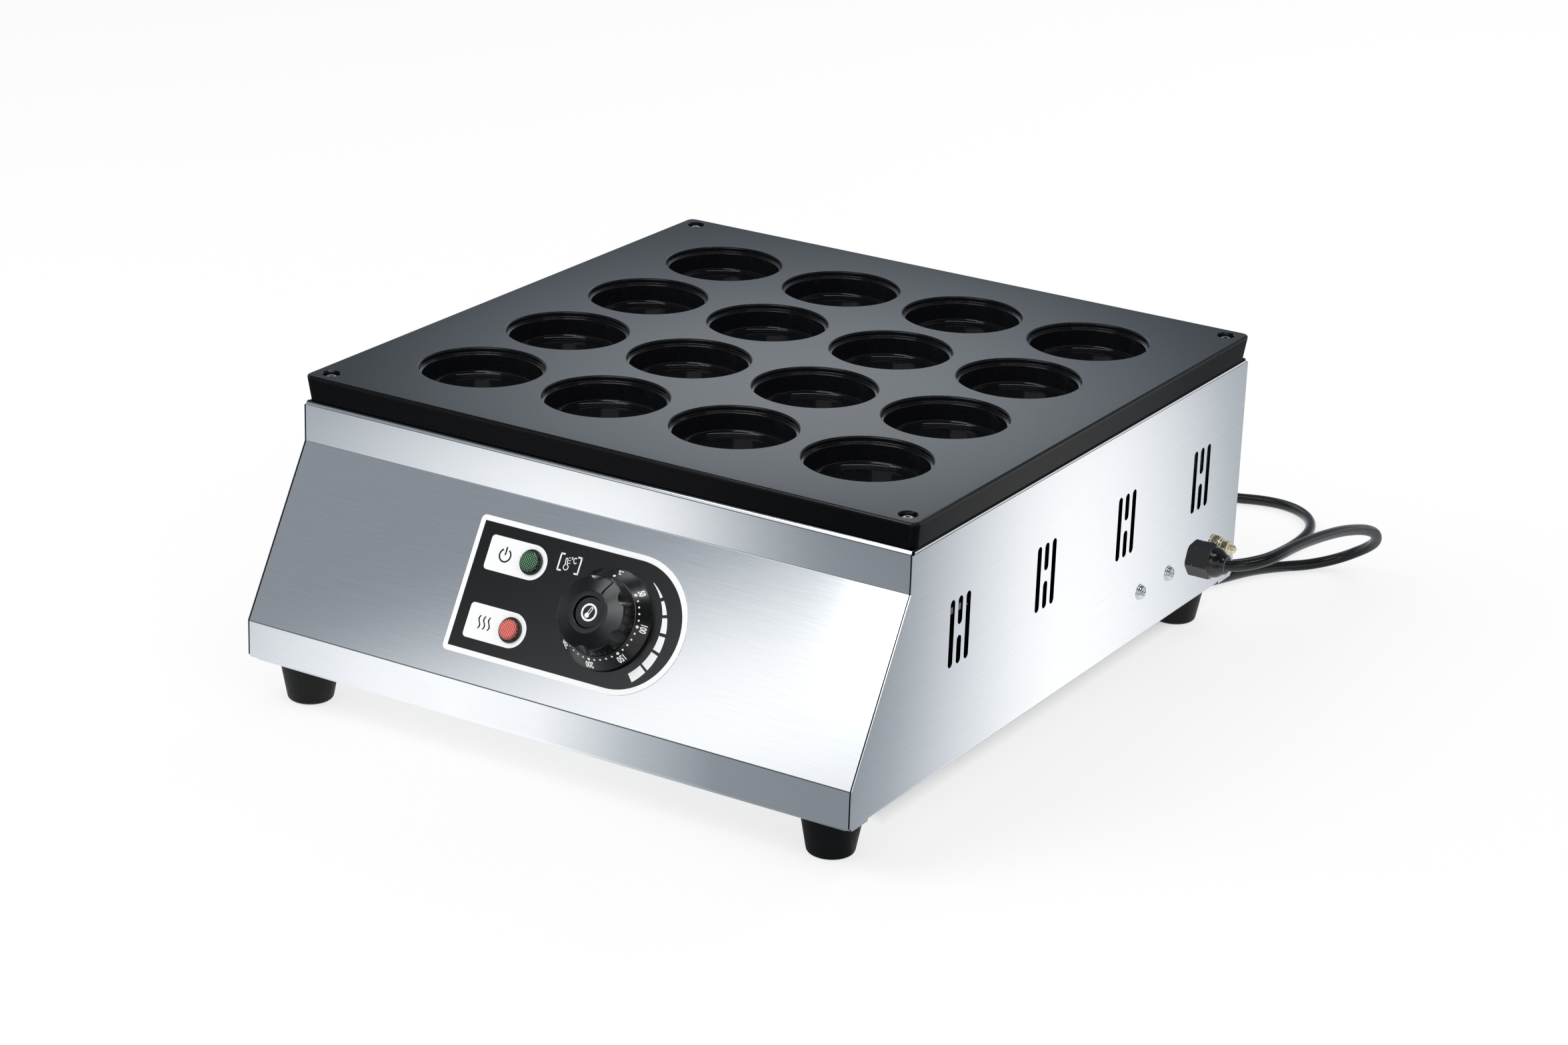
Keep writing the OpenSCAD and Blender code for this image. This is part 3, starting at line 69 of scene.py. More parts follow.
# %% [markdown]
# A place in Blender is a matrix, and matrices multiply from the outside in: the last one written acts first. Moves
# and turns each get a short helper, and from them come the two places that most pieces need: a spot on the slope,
# and a spot on the right-hand panel.


# %% Places on the object
def moved(x=0.0, y=0.0, z=0.0):
    """A move in millimetres, as a matrix."""
    return Matrix.Translation(Vector((x, y, z)) * MM)


def swung(axis, degrees):
    """A turn about one axis, as a matrix."""
    return Matrix.Rotation(math.radians(degrees), 4, axis)


def at(x, y, z):
    """A point of the drawing, in metres of the frame."""
    return (Vector((x, y, z)) + SHIFT) * MM


def place(origin, turn):
    """A place of the drawing: an origin in millimetres and a turn, for a piece drawn in metres."""
    return Matrix.Translation(at(*origin)) @ turn


centring = moved(*SHIFT)
slope_turn = swung("X", 90 - SLOPE_LEAN)
on_slope = place((0, -HALF_D, SLOPE_TOP_Z), slope_turn)
right_turn = Matrix(((0, 0, 1, 0), (1, 0, 0, 0), (0, 1, 0, 0), (0, 0, 0, 1)))


def slope_at(x, s, h=0.0):
    """A place on the slope: x to the right, s down the slope from its fold, h outwards."""
    return on_slope @ moved(x, -s, h)


def right_at(y, z, h=0.0):
    """A place on the right-hand panel, with h outwards."""
    return place((HALF_W + h, y, z), right_turn)


print("slope starts at", [round(v, 4) for v in on_slope.translation])

# %% [markdown]
# The camera comes before anything else, because the lead's loops have to stay in its view. Its place was worked
# out from the housing's edges and the pocket rims: about 31 degrees round to the right and 18 degrees up, with a
# long lens from two metres away, so the verticals stay nearly parallel.

# %% Camera
CAMERA_SPOT, CAMERA_TURN = (1.0963, -1.80815, 0.8857), (69.299, -1.868, 31.834)
SENSOR_W, FOCAL_LENGTH, FAR_LIMIT = 36, 88.998, 50
bpy.ops.object.camera_add(location=CAMERA_SPOT, rotation=[math.radians(a) for a in CAMERA_TURN])
camera = bpy.context.object
camera.name = "studio_camera"
camera.data.sensor_width = SENSOR_W
camera.data.lens = FOCAL_LENGTH
camera.data.clip_end = FAR_LIMIT
scene.camera = camera
print("camera at", list(camera.location))

# %% [markdown]
# The mains lead is a fixed length of something flexible. It leaves the gland, falls to the table in one open loop,
# folds back on itself, and the rest is wound into a coil behind the housing. A curve with a round bevel is the
# natural way to make it, since a curve keeps its own length. The points are smoothed with the same Catmull-Rom rule
# that the CAD uses, so the lead lies where its solid does.

# %% The route of the lead
LEAD_D = 6.8
BEND_R = 22.0
LIE_Z, COIL_Z, COIL_R, COIL_PITCH = 3.6, 5.0, 43.0, 7.4
COIL_HALF, COIL_STEP = 720, 6
COIL_CENTRE = Vector((36.2, 330.8))
TAIL_LEN = 24.0
ROUTE_STEPS = 6


def smooth_route(points, steps):
    """Samples a Catmull-Rom curve through the points, with its end points doubled."""
    ends = [points[0]] + points + [points[-1]]
    samples = []
    for a, b, c, d in zip(ends, ends[1:], ends[2:], ends[3:]):
        for i in range(steps):
            t = i / steps
            samples.append(
                (2 * b + (c - a) * t + (2 * a - 5 * b + 4 * c - d) * t**2 + (3 * b - a - 3 * c + d) * t**3) / 2
            )
    return samples + [points[-1]]


straight = [Vector((HALF_W + x, GLAND_Y, FITTING_Z)) for x in (-2, 13.2, 25.2)]
bend_centre = Vector((straight[-1].x, GLAND_Y + BEND_R, FITTING_Z))
bend = [
    bend_centre + BEND_R * Vector((math.sin(a), -math.cos(a), rise))
    for a, rise in ((math.pi / 6, 0.118), (math.pi / 3, 0.227), (math.pi / 2, 0.264))
]
fall = [
    (47.6, -20, 61.4), (48.2, 0, 59.4), (49, 25, 55.8), (49.8, 50, 51.1), (50.8, 73, 45.2), (52, 88, 40),
    (52.4, 97, 34.8), (49.5, 105, 27.5), (43, 111, 20.5), (34, 114.2, 13.8), (24, 113, 8), (15, 107, 4.8),
]
lie = [
    (6.5, 98), (-2, 88.5), (-9.5, 79.5), (-16.5, 69), (-22, 57), (-27, 44), (-33.5, 32), (-44, 23), (-58, 18.5),
    (-73, 17.8), (-83.3, 20.5), (-90.8, 28), (-93.5, 38.3), (-90.8, 48.6), (-83.3, 56.1), (-73, 58.8), (-60.5, 57.5),
    (-49, 57.5), (-40, 61.3), (-33, 68), (-27, 75.5), (-22.5, 83.5), (-18.5, 93.5), (-15.8, 107.5), (-14.4, 125),
    (-14.8, 141.5), (-17.4, 156.5), (-22.5, 169), (-30.5, 179.5), (-41.5, 187), (-54, 190), (-67, 188.5),
    (-81, 183.5), (-93, 179.2),
]
corner = Vector((HALF_W, HALF_D, 0))
loops = [corner + Vector(p) for p in fall] + [corner + Vector((x, y, LIE_Z)) for x, y in lie]
coil_top = COIL_CENTRE.y + COIL_R
run_in = [
    Vector((COIL_CENTRE.x + 8 * LEAD_D, coil_top + LEAD_D / 2, LIE_Z)),
    *(Vector((COIL_CENTRE.x + k * LEAD_D, coil_top, COIL_Z)) for k in (5, 3, 1)),
]
free_route = smooth_route(straight + bend + loops + run_in, ROUTE_STEPS)


def coil_point(a):
    """A point of the coil, a degrees along: two turns winding in, then two winding out on top of them."""
    r = COIL_R - COIL_PITCH * (a if a <= COIL_HALF else 2 * COIL_HALF - a) / 360
    rise = min(max((a - COIL_HALF + 90) / 180, 0), 1)
    ease = rise * rise * (3 - 2 * rise)
    turn = math.radians(90 + a)
    return Vector((
        COIL_CENTRE.x + r * math.cos(turn), COIL_CENTRE.y + r * math.sin(turn), COIL_Z + COIL_PITCH * ease
    ))


coil = [coil_point(a) for a in range(0, 2 * COIL_HALF + 1, COIL_STEP)]
tail = [coil[-1] + Vector((-TAIL_LEN * k, 0, 0)) for k in (0.5, 1)]
lead_route = [at(*p) for p in free_route + coil + tail]

# %% The lead as one curve
lead_curve = bpy.data.curves.new("mains_lead", "CURVE")
lead_curve.dimensions = "3D"
lead_curve.bevel_depth = 1
lead_curve.bevel_resolution = 7
lead_curve.use_fill_caps = True
spline = lead_curve.splines.new("POLY")
spline.points.add(len(lead_route) - 1)
for point, p in zip(spline.points, lead_route):
    point.co = (*p, 1)
    point.radius = LEAD_D / 2 * MM
spline.use_smooth = True
mains_lead = bpy.data.objects.new("mains_lead", lead_curve)
scene.collection.objects.link(mains_lead)
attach(mains_lead, "housing")
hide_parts("power_cord", "cord_coil")
print("lead lies in a coil of", 2 * COIL_HALF // 360, "turns")

# %% [markdown]
# Every finish below is procedural. Two small helpers do all the wiring: one turns an sRGB hex colour into the linear
# values that the shader wants, the other adds a node with its settings, numbers and links.


# %% Colour and node helpers
def ink(code):
    """An sRGB hex colour as linear red, green, blue and alpha."""
    parts = [int(code[i:i + 2], 16) / 255 for i in (1, 3, 5)]
    return (*(c / 12.92 if c <= 0.04045 else ((c + 0.055) / 1.055) ** 2.4 for c in parts), 1.0)


def put(tree, kind, settings=None, values=None, links=None):
    """Adds one node: settings are its choices, values its sockets' numbers, links the outputs that feed it."""
    node = tree.nodes.new(kind)
    for key, value in (settings or {}).items():
        setattr(node, key, value)
    for key, value in (values or {}).items():
        node.inputs[key].default_value = value
    for key, output in (links or {}).items():
        tree.links.new(output, node.inputs[key])
    return node


def begin(name, values):
    """A new material with its main shader's constants set, and a point in object space in metres."""
    material = bpy.data.materials.new(name)
    material.use_nodes = True
    tree = material.node_tree
    shader = tree.nodes["Principled BSDF"]
    for key, value in values.items():
        shader.inputs[key].default_value = value
    point = put(tree, "ShaderNodeTexCoord").outputs["Object"]
    return material, tree, shader, point


print("white as the shader wants it:", ink("#FFFFFF"))

# %% [markdown]
# Most finishes of this object differ only in their numbers. They have a darker and a lighter shade, a grain of a
# known size, and a roughness and a relief that follow the grain, so one recipe makes them all. Two more steps change
# a finish from place to place: one measures how far a point is from the middle, the other darkens the colour.


# %% A grained finish
def grained(name, shades, grain, rough, relief, stretch=(1, 1, 1), detail=3, metal=0.0, shine=0.5):
    """A finish in two shades, with a grain of so many millimetres that roughness and relief follow."""
    material, tree, shader, point = begin(name, {"Metallic": metal, "Specular IOR Level": shine})
    drawn_out = put(tree, "ShaderNodeMapping", values={"Scale": stretch}, links={"Vector": point})
    noise = put(
        tree, "ShaderNodeTexNoise", values={"Scale": 1 / (grain * MM), "Detail": detail},
        links={"Vector": drawn_out.outputs["Vector"]},
    ).outputs["Fac"]
    shade = put(tree, "ShaderNodeValToRGB", links={"Fac": noise})
    for stop, spot, code in zip(shade.color_ramp.elements, (0.32, 0.68), shades):
        stop.position, stop.color = spot, ink(code)
    level = put(
        tree, "ShaderNodeMapRange",
        values={"From Min": 0.3, "From Max": 0.7, "To Min": rough[0], "To Max": rough[1]}, links={"Value": noise},
    )
    bump = put(
        tree, "ShaderNodeBump", values={"Strength": relief[0], "Distance": relief[1] * MM}, links={"Height": noise}
    )
    tree.links.new(shade.outputs["Color"], shader.inputs["Base Color"])
    tree.links.new(level.outputs["Result"], shader.inputs["Roughness"])
    tree.links.new(bump.outputs["Normal"], shader.inputs["Normal"])
    return material


def from_middle(tree):
    """How far a point lies from the middle of the housing along X, Y and Z, to either side."""
    point = tree.nodes["Texture Coordinate"].outputs["Object"]
    centred = put(tree, "ShaderNodeVectorMath", {"operation": "SUBTRACT"}, {1: SHIFT * MM}, {0: point})
    spread = put(tree, "ShaderNodeVectorMath", {"operation": "ABSOLUTE"}, links={0: centred.outputs["Vector"]})
    return put(tree, "ShaderNodeSeparateXYZ", links={0: spread.outputs["Vector"]}).outputs


def shade_by(tree, level):
    """Multiplies the colour that a finish already has by a level from 0 to 1."""
    colour = tree.nodes["Principled BSDF"].inputs["Base Color"]
    shaded = put(
        tree, "ShaderNodeVectorMath", {"operation": "SCALE"}, links={0: colour.links[0].from_socket, "Scale": level}
    )
    tree.links.new(shaded.outputs["Vector"], colour)


# %% [markdown]
# The housing is 304 stainless sheet with a satin, rolled finish. It is a bare metal, so its colour is its
# reflection, and the rolling leaves fine level streaks. Real streaks are about 0.05 mm and would vanish at this
# distance, so they are drawn 0.5 mm wide, and fifty times as long as they are wide. Shade is painted black into
# the steel where it falls: along the rim under the plate, and on the walls of the side vents.

# %% Stainless sheet
STREAK_W, STREAK_STRETCH = 0.5, (0.02, 0.02, 1)
# How dark the painted shade gets, as a share of the steel's own colour.
PAINTED_SHADE = 0.02
satin_steel = grained(
    "satin_stainless", ("#DEE0E3", "#E3E5E7"), STREAK_W, (0.135, 0.155), (0.004, 0.05), STREAK_STRETCH, metal=1.0
)


def blacken(material, axis, unshaded, black):
    """Paints shade into a steel along one axis, from an unshaded to a black distance from the middle, in mm."""
    tree = material.node_tree
    level = put(
        tree, "ShaderNodeMapRange",
        values={"From Min": unshaded * MM, "From Max": black * MM, "To Min": 1.0, "To Max": PAINTED_SHADE},
        links={"Value": from_middle(tree)[axis]},
    )
    shade_by(tree, level.outputs["Result"])


vented_steel = satin_steel.copy()
vented_steel.name = "satin_stainless_vented"
# Painted shade along the top rim of every panel, under the plate, and on the vent walls of the side panels.
for steel in (satin_steel, vented_steel):
    blacken(steel, "Z", TOP_Z - 0.3, TOP_Z - 0.12)
blacken(vented_steel, "X", HALF_W - 0.22, HALF_W - 0.5)
print("stainless sheet made, plain and vented")

# %% [markdown]
# The smaller metal pieces are plated, drawn or rolled, and each way leaves its own colour and its own cloud. A metal's
# shine comes from its roughness, so the recipe's other numbers stay small.

# %% Other metals
# Cold-rolled steel inside the housing: duller and darker than the sheet outside.
plain_steel = grained("rolled_steel", ("#5C5F63", "#6F7276"), 1.5, (0.34, 0.48), (0.08, 0.05), metal=1.0)
# Bright zinc plating on screws, washers and nuts: a clean white metal with a soft cloud in it.
bright_zinc = grained("bright_zinc", ("#B4B8BC", "#D2D5D8"), 0.9, (0.2, 0.32), (0.05, 0.03), metal=1.0)
# Yellow passivated zinc on the earthing parts: a pale straw gold with a soft cloud.
yellow_zinc = grained("yellow_zinc", ("#BFAF84", "#E2DABC"), 1.4, (0.22, 0.36), (0.06, 0.03), metal=1.0)
# The heater tube's nickel alloy sheath turns a dull brown-grey once it has been hot.
hot_sheath = grained("oxidised_sheath", ("#4A4642", "#6B655E"), 2.2, (0.4, 0.58), (0.1, 0.05), metal=1.0)
# Drawn copper of the thermostat's tube: a warm red metal, lightly tarnished.
copper_tube = grained("drawn_copper", ("#A8623E", "#C98A62"), 1.2, (0.24, 0.36), (0.06, 0.03), metal=1.0)
# Plated brass of the plug's pins: a pale, bright yellow metal.
pin_brass = grained("plated_brass", ("#C9B27A", "#DCCB9C"), 0.8, (0.16, 0.26), (0.04, 0.02), metal=1.0)
print("metals made")

# %% [markdown]
# The mould plate is cast aluminium under a non-stick coat. The coat is sprayed and baked, so it is almost black, a
# little uneven in gloss, and has a fine orange peel of about a millimetre. Seen from low down it mirrors the pale
# room, which is why its top looks grey and its sides look black. The outer sides get less gloss and a painted shade
# that darkens their colour, so that they stay black. Inside the pockets the coat is thicker and has flowed smooth.

# %% Non-stick coat
TOP_SHINE, SIDE_SHINE, SIDE_PAINTED_SHADE, POCKET_SMOOTH = 0.2, 0.03, 0.6, 0.55
EDGE_IN, EDGE_OUT = 196.4, 197.2
LOWER_FROM_Z, LOWER_FULL_Z = TOP_Z + 14.2, TOP_Z + 13
mould_coat = grained(
    "nonstick_coat", ("#0D0E10", "#151619"), 1.1, (0.15, 0.21), (0.05, 0.05), detail=5, shine=TOP_SHINE
)
tree = mould_coat.node_tree
sockets = tree.nodes["Principled BSDF"].inputs
far = from_middle(tree)
reach = put(tree, "ShaderNodeMath", {"operation": "MAXIMUM"}, links={0: far["X"], 1: far["Y"]})
outside = put(
    tree, "ShaderNodeMapRange", values={"From Min": EDGE_IN * MM, "From Max": EDGE_OUT * MM},
    links={"Value": reach.outputs[0]},
)
below = put(
    tree, "ShaderNodeMapRange", values={"From Min": LOWER_FROM_Z * MM, "From Max": LOWER_FULL_Z * MM}, links={"Value": far["Z"]}
)
# The outer sides below the top edge: less gloss, and a painted shade that darkens their colour.
shaded_side = put(
    tree, "ShaderNodeMath", {"operation": "MULTIPLY"}, links={0: outside.outputs["Result"], 1: below.outputs["Result"]}
)
gloss = put(
    tree, "ShaderNodeMapRange", values={"To Min": TOP_SHINE, "To Max": SIDE_SHINE}, links={"Value": shaded_side.outputs[0]}
)
tree.links.new(gloss.outputs["Result"], sockets["Specular IOR Level"])
# Painted shade: the colour of the outer sides is darkened.
depth = put(tree, "ShaderNodeMapRange", values={"To Min": 1.0, "To Max": SIDE_PAINTED_SHADE}, links={"Value": shaded_side.outputs[0]})
shade_by(tree, depth.outputs["Result"])
flow = put(
    tree, "ShaderNodeMapRange", values={"To Min": 1.0, "To Max": POCKET_SMOOTH},
    links={"Value": below.outputs["Result"]},
)
smoother = put(
    tree, "ShaderNodeMath", {"operation": "MULTIPLY"},
    links={0: sockets["Roughness"].links[0].from_socket, 1: flow.outputs["Result"]},
)
tree.links.new(smoother.outputs[0], sockets["Roughness"])
print("coat made with", len(tree.nodes), "nodes")

# %% [markdown]
# The black pieces are five different plastics and rubbers, and the eye tells them apart by gloss alone. Their blacks
# stay a little above zero, because nothing real is blacker than soot.

# %% Plastics, rubber, film and ceramic
# Moulded ABS for knob and dial: black with a fine spark-eroded skin.
knob_black = grained("moulded_abs", ("#060708", "#0C0D0E"), 0.5, (0.2, 0.28), (0.06, 0.03))
# Nylon of the gland and lamp rims: black, waxier and a little greyer.
nylon_black = grained("moulded_nylon", ("#08090A", "#101113"), 0.8, (0.18, 0.28), (0.1, 0.05))
# Vulcanised rubber of the feet: deep black, matt, with moulding bloom.
foot_rubber = grained("moulded_rubber", ("#050506", "#0B0B0C"), 1.6, (0.45, 0.62), (0.15, 0.06), shine=0.2)
# Flexible PVC of the lead: black, with the soft gloss of an extruded jacket.
lead_pvc = grained("extruded_pvc", ("#070809", "#0E0F10"), 1.3, (0.24, 0.34), (0.08, 0.05), shine=0.4)
# Fired steatite of the terminal block: a matt, creamy ceramic.
steatite = grained("fired_steatite", ("#D8D2C4", "#E9E4D8"), 1.2, (0.4, 0.55), (0.08, 0.04))
# Polyester film with a screen print: a smooth white, and a smoother black.
film_white = grained("printed_film_white", ("#FAFBFC", "#FEFEFF"), 0.7, (0.26, 0.34), (0.04, 0.02))
film_black = grained("printed_film_black", ("#07080A", "#0C0D0F"), 0.7, (0.18, 0.25), (0.03, 0.02))
mains_lead.data.materials.append(lead_pvc)
print("plastics, rubber, film and ceramic made, and the lead takes its finish")

# %% [markdown]
# A signal lens is clear coloured plastic over a bright reflector. The pyramids pressed into it gather the light into
# a grid of points, and the rim shades its edge; both the points of light and that shade are painted into the lens
# colour. The grid is the product of two sine waves across the slope, 1.55 mm long, which puts its points 1.1 mm apart
# on the diagonals, as the pyramids are.

# %% Signal lenses
POINT_WAVE = 1.55
LENS_ROUGH, LENS_SHINE = 0.1, 0.25
RAMP_WIDTH = 0.3
CLEAR_R, SHADED_R, SHADED = 4.1, 6.6, 0.08


def lens_finish(name, middle, dark, bright, start):
    """A glossy lens about its middle, in two colours: the gaps between painted points of light, and the points."""
    material, tree, shader, point = begin(name, {"Roughness": LENS_ROUGH, "Specular IOR Level": LENS_SHINE})
    gap = put(tree, "ShaderNodeVectorMath", {"operation": "SUBTRACT"}, {1: middle}, {0: point}).outputs["Vector"]
    waves = []
    for axis in (slope_turn.col[0], slope_turn.col[1]):
        along = put(tree, "ShaderNodeVectorMath", {"operation": "DOT_PRODUCT"}, {1: axis[:3]}, {0: gap})
        phase = put(
            tree, "ShaderNodeMath", {"operation": "MULTIPLY"}, {1: 2 * math.pi / (POINT_WAVE * MM)},
            {0: along.outputs["Value"]},
        )
        waves.append(put(tree, "ShaderNodeMath", {"operation": "SINE"}, links={0: phase.outputs[0]}).outputs[0])
    # The painted points of light.
    grid = put(tree, "ShaderNodeMath", {"operation": "MULTIPLY"}, links={0: waves[0], 1: waves[1]})
    shade = put(tree, "ShaderNodeValToRGB", links={"Fac": grid.outputs[0]})
    for stop, spot, code in zip(shade.color_ramp.elements, (start, start + RAMP_WIDTH), (dark, bright)):
        stop.position, stop.color = spot, ink(code)
    tree.links.new(shade.outputs["Color"], shader.inputs["Base Color"])
    # Painted shade towards the rim.
    reach = put(tree, "ShaderNodeVectorMath", {"operation": "LENGTH"}, links={0: gap})
    fade = put(
        tree, "ShaderNodeMapRange",
        values={"From Min": CLEAR_R * MM, "From Max": SHADED_R * MM, "To Min": 1.0, "To Max": SHADED},
        links={"Value": reach.outputs["Value"]},
    )
    shade_by(tree, fade.outputs["Result"])
    return material


LAMP_X, LAMP_YS, DIAL_S, LENS_RISE = -28.8, {"green": 19.4, "red": -19.4}, 53.55, 3
lens_middles = {colour: slope_at(LAMP_X, DIAL_S - y, LENS_RISE).translation for colour, y in LAMP_YS.items()}
# The second colour of each lens is that of its painted points of light.
green_lens = lens_finish("green_polycarbonate", lens_middles["green"], "#173E28", "#A4D6B6", 0.3)
red_lens = lens_finish("red_polycarbonate", lens_middles["red"], "#CE453F", "#FFC4B8", 0.12)
print("lenses made about", [[round(v, 4) for v in middle] for middle in lens_middles.values()])

# %% [markdown]
# From here on, pieces are modelled as by hand: a primitive or one drawn line is shaped in edit mode, then finished
# with modifiers. Operators act on whatever is selected, so the first helper always clears the selection, and
# the next ones wrap the few moves that every piece needs.


# %% Choosing and starting a piece
def choose(*pieces):
    """Leaves edit mode and selects only these pieces, the first of them active."""
    if bpy.context.object and bpy.context.object.mode != "OBJECT":
        bpy.ops.object.mode_set(mode="OBJECT")
    bpy.ops.object.select_all(action="DESELECT")
    for piece in pieces:
        piece.select_set(True)
    if pieces:
        bpy.context.view_layer.objects.active = pieces[0]


def mark(piece, kind, test):
    """Enters edit mode and selects the vertices, edges or faces that pass a test."""
    choose(piece)
    bpy.ops.object.mode_set(mode="EDIT")
    bpy.ops.mesh.select_mode(type=kind)
    bpy.ops.mesh.select_all(action="DESELECT")
    mesh = bmesh.from_edit_mesh(piece.data)
    for part in {"VERT": mesh.verts, "EDGE": mesh.edges, "FACE": mesh.faces}[kind]:
        if test(part):
            part.select_set(True)
    bmesh.update_edit_mesh(piece.data)


def apply_place():
    """Puts the place, turn and size of the chosen pieces into their meshes."""
    bpy.ops.object.transform_apply(location=True, rotation=True, scale=True)


def begin_piece(name, add, **settings):
    """Adds a primitive with nothing else selected, and names it."""
    choose()
    add(**settings)
    piece = bpy.context.object
    piece.name = piece.data.name = name
    return piece


def block(name, x, y, z):
    """Starts a piece from a cube, drawn out to these sizes in millimetres."""
    piece = begin_piece(name, bpy.ops.mesh.primitive_cube_add, size=1, scale=(x * MM, y * MM, z * MM))
    apply_place()
    return piece


def rod(name, sides, radius, height):
    """Starts a piece from an upright bar with so many sides, in millimetres."""
    return begin_piece(
        name, bpy.ops.mesh.primitive_cylinder_add, vertices=sides, radius=radius * MM, depth=height * MM
    )


# %% [markdown]
# Round pieces are turned as on a lathe, flat ones are cut from sheet. Both start as a line that one vertex leaves
# behind when it is extruded from point to point.

# %% Drawing, turning and cutting from sheet
WELD = 0.002 * MM


def drawn(name, points):
    """Draws a line through points in millimetres, by extruding a single vertex from one to the next."""
    piece = begin_piece(name, bpy.ops.mesh.primitive_plane_add, size=MM)
    bpy.ops.object.mode_set(mode="EDIT")
    bpy.ops.mesh.select_mode(type="VERT")
    bpy.ops.mesh.select_all(action="SELECT")
    bpy.ops.mesh.merge(type="CENTER")
    bpy.ops.transform.translate(value=Vector(points[0]) * MM)
    for a, b in zip(points, points[1:]):
        step = (Vector(b) - Vector(a)) * MM
        bpy.ops.mesh.extrude_vertices_move(TRANSFORM_OT_translate={"value": step})
    bpy.ops.mesh.select_all(action="SELECT")
    return piece


def tidy_mesh():
    """Merges doubled points and turns all faces outwards, in edit mode."""
    bpy.ops.mesh.select_all(action="SELECT")
    bpy.ops.mesh.remove_doubles(threshold=WELD)
    bpy.ops.mesh.normals_make_consistent(inside=False)
    bpy.ops.object.mode_set(mode="OBJECT")


def turned(name, profile, steps=64):
    """Spins a drawn half section round the Z axis, as on a lathe. The profile is (radius, height) in millimetres."""
    piece = drawn(name, [(r, 0, z) for r, z in profile])
    bpy.ops.mesh.spin(steps=steps, angle=2 * math.pi, center=(0, 0, 0), axis=(0, 0, 1))
    tidy_mesh()
    return piece


def sheet_cut(name, outline, thickness):
    """Fills a drawn outline and extrudes it upwards, like a shape cut from sheet."""
    piece = drawn(name, [(x, y, 0) for x, y in outline])
    bpy.ops.mesh.edge_face_add()
    bpy.ops.mesh.extrude_region_move(TRANSFORM_OT_translate={"value": (0, 0, thickness * MM)})
    tidy_mesh()
    return piece


def arc(x, y, r, start, end, parts):
    """Points of an arc, with angles in degrees."""
    turns = [math.radians(start + (end - start) * i / parts) for i in range(parts + 1)]
    return [(x + r * math.cos(t), y + r * math.sin(t)) for t in turns]


# %% [markdown]
# Cuts and rounded edges are modifiers that are applied at once. A cut can leave faces of no size where two surfaces
# nearly meet, so each one is followed by a cleaning. The manifold solver is used, because it gives the same mesh in
# every run.


# %% Cutting, rounding and joining
def apply_modifier(piece, kind, **settings):
    """Adds a modifier and applies it."""
    choose(piece)
    modifier = piece.modifiers.new(kind.lower(), kind)
    for key, value in settings.items():
        setattr(modifier, key, value)
    bpy.ops.object.modifier_apply(modifier=modifier.name)


def clear_slivers(piece, weld=False):
    """Removes faces and edges that a cut or a bevel has left with no size, after welding points if asked."""
    choose(piece)
    bpy.ops.object.mode_set(mode="EDIT")
    bpy.ops.mesh.select_all(action="SELECT")
    if weld:
        bpy.ops.mesh.remove_doubles(threshold=WELD)
    bpy.ops.mesh.dissolve_degenerate(threshold=WELD)
    bpy.ops.object.mode_set(mode="OBJECT")


def cut(piece, tool, operation="DIFFERENCE"):
    """Cuts a tool shape out of a piece, or joins it on, and throws the tool away."""
    apply_modifier(piece, "BOOLEAN", operation=operation, solver="MANIFOLD", object=tool)
    bpy.data.objects.remove(tool, do_unlink=True)
    clear_slivers(piece, weld=True)


def soften(piece, width, segments=2, angle=30):
    """Rounds every edge that is sharper than the angle."""
    apply_modifier(
        piece, "BEVEL", width=width * MM, segments=segments, limit_method="ANGLE", angle_limit=math.radians(angle)
    )
    clear_slivers(piece)


def joined(first, *others):
    """Joins pieces into the first, with their places applied."""
    choose(first, *others)
    apply_place()
    if others:
        bpy.ops.object.join()
    return bpy.context.object


def twin_of(piece, spot):
    """A copy of a piece with its own mesh, at a place."""
    twin = piece.copy()
    twin.data = piece.data.copy()
    scene.collection.objects.link(twin)
    twin.matrix_world = spot
    return twin


def copies(piece, places):
    """Joins copies of a piece at these places into one of the same name, and throws the first away."""
    name = piece.name
    twins = [twin_of(piece, spot) for spot in places]
    bpy.data.objects.remove(piece, do_unlink=True)
    whole = joined(*twins)
    whole.name = whole.data.name = name
    return whole


def settle(piece, finish, stands_for=(), spot=None, body="housing", angle=32):
    """Sets a piece at its place, applies that place to its mesh, shades it and adds it to the object."""
    choose(piece)
    if spot is not None:
        piece.matrix_world = spot @ piece.matrix_world
    apply_place()
    bpy.ops.object.shade_smooth_by_angle(angle=math.radians(angle))
    apply_modifier(piece, "WEIGHTED_NORMAL", keep_sharp=True, weight=100)
    piece.data.materials.clear()
    piece.data.materials.append(finish)
    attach(piece, body)
    if stands_for:
        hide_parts(*stands_for)
    print(piece.name, "has", len(piece.data.polygons), "faces")
    return piece


# %% [markdown]
# The mould plate is one casting, and the most skilled piece here. It starts as a cube of the plate's size. The
# underside is drawn in for draft, the corners and the top edge are rounded with the bevel operator, and cups are
# joined on below. One stepped pocket is turned on the lathe and cut out sixteen times: a rounded mouth, a ledge, a
# wall with draft, and a fillet round the floor that catches a thin line of light. A face with many holes in it can
# close over one of them, so lines are first drawn across the block just past the middle of every hole to come.

# %% Mould plate block
PLATE_W, PLATE_D = 400.0, 400.8
PLATE_DRAFT, CORNER_R, EDGE_R = 1.8, 5.0, 1.5
ROWS, PITCH = 4, 85.3
WELL_X, WELL_Y, LINE_PAST = 188.7, 189.1, 0.44
CUP_R, CUP_Z = 38.5, 160.8
BOSS_R, BOSS_Z = 6.5, 154.3
# Cups and bosses reach this far up into the plate, so that they join it.
OVERLAP = 1

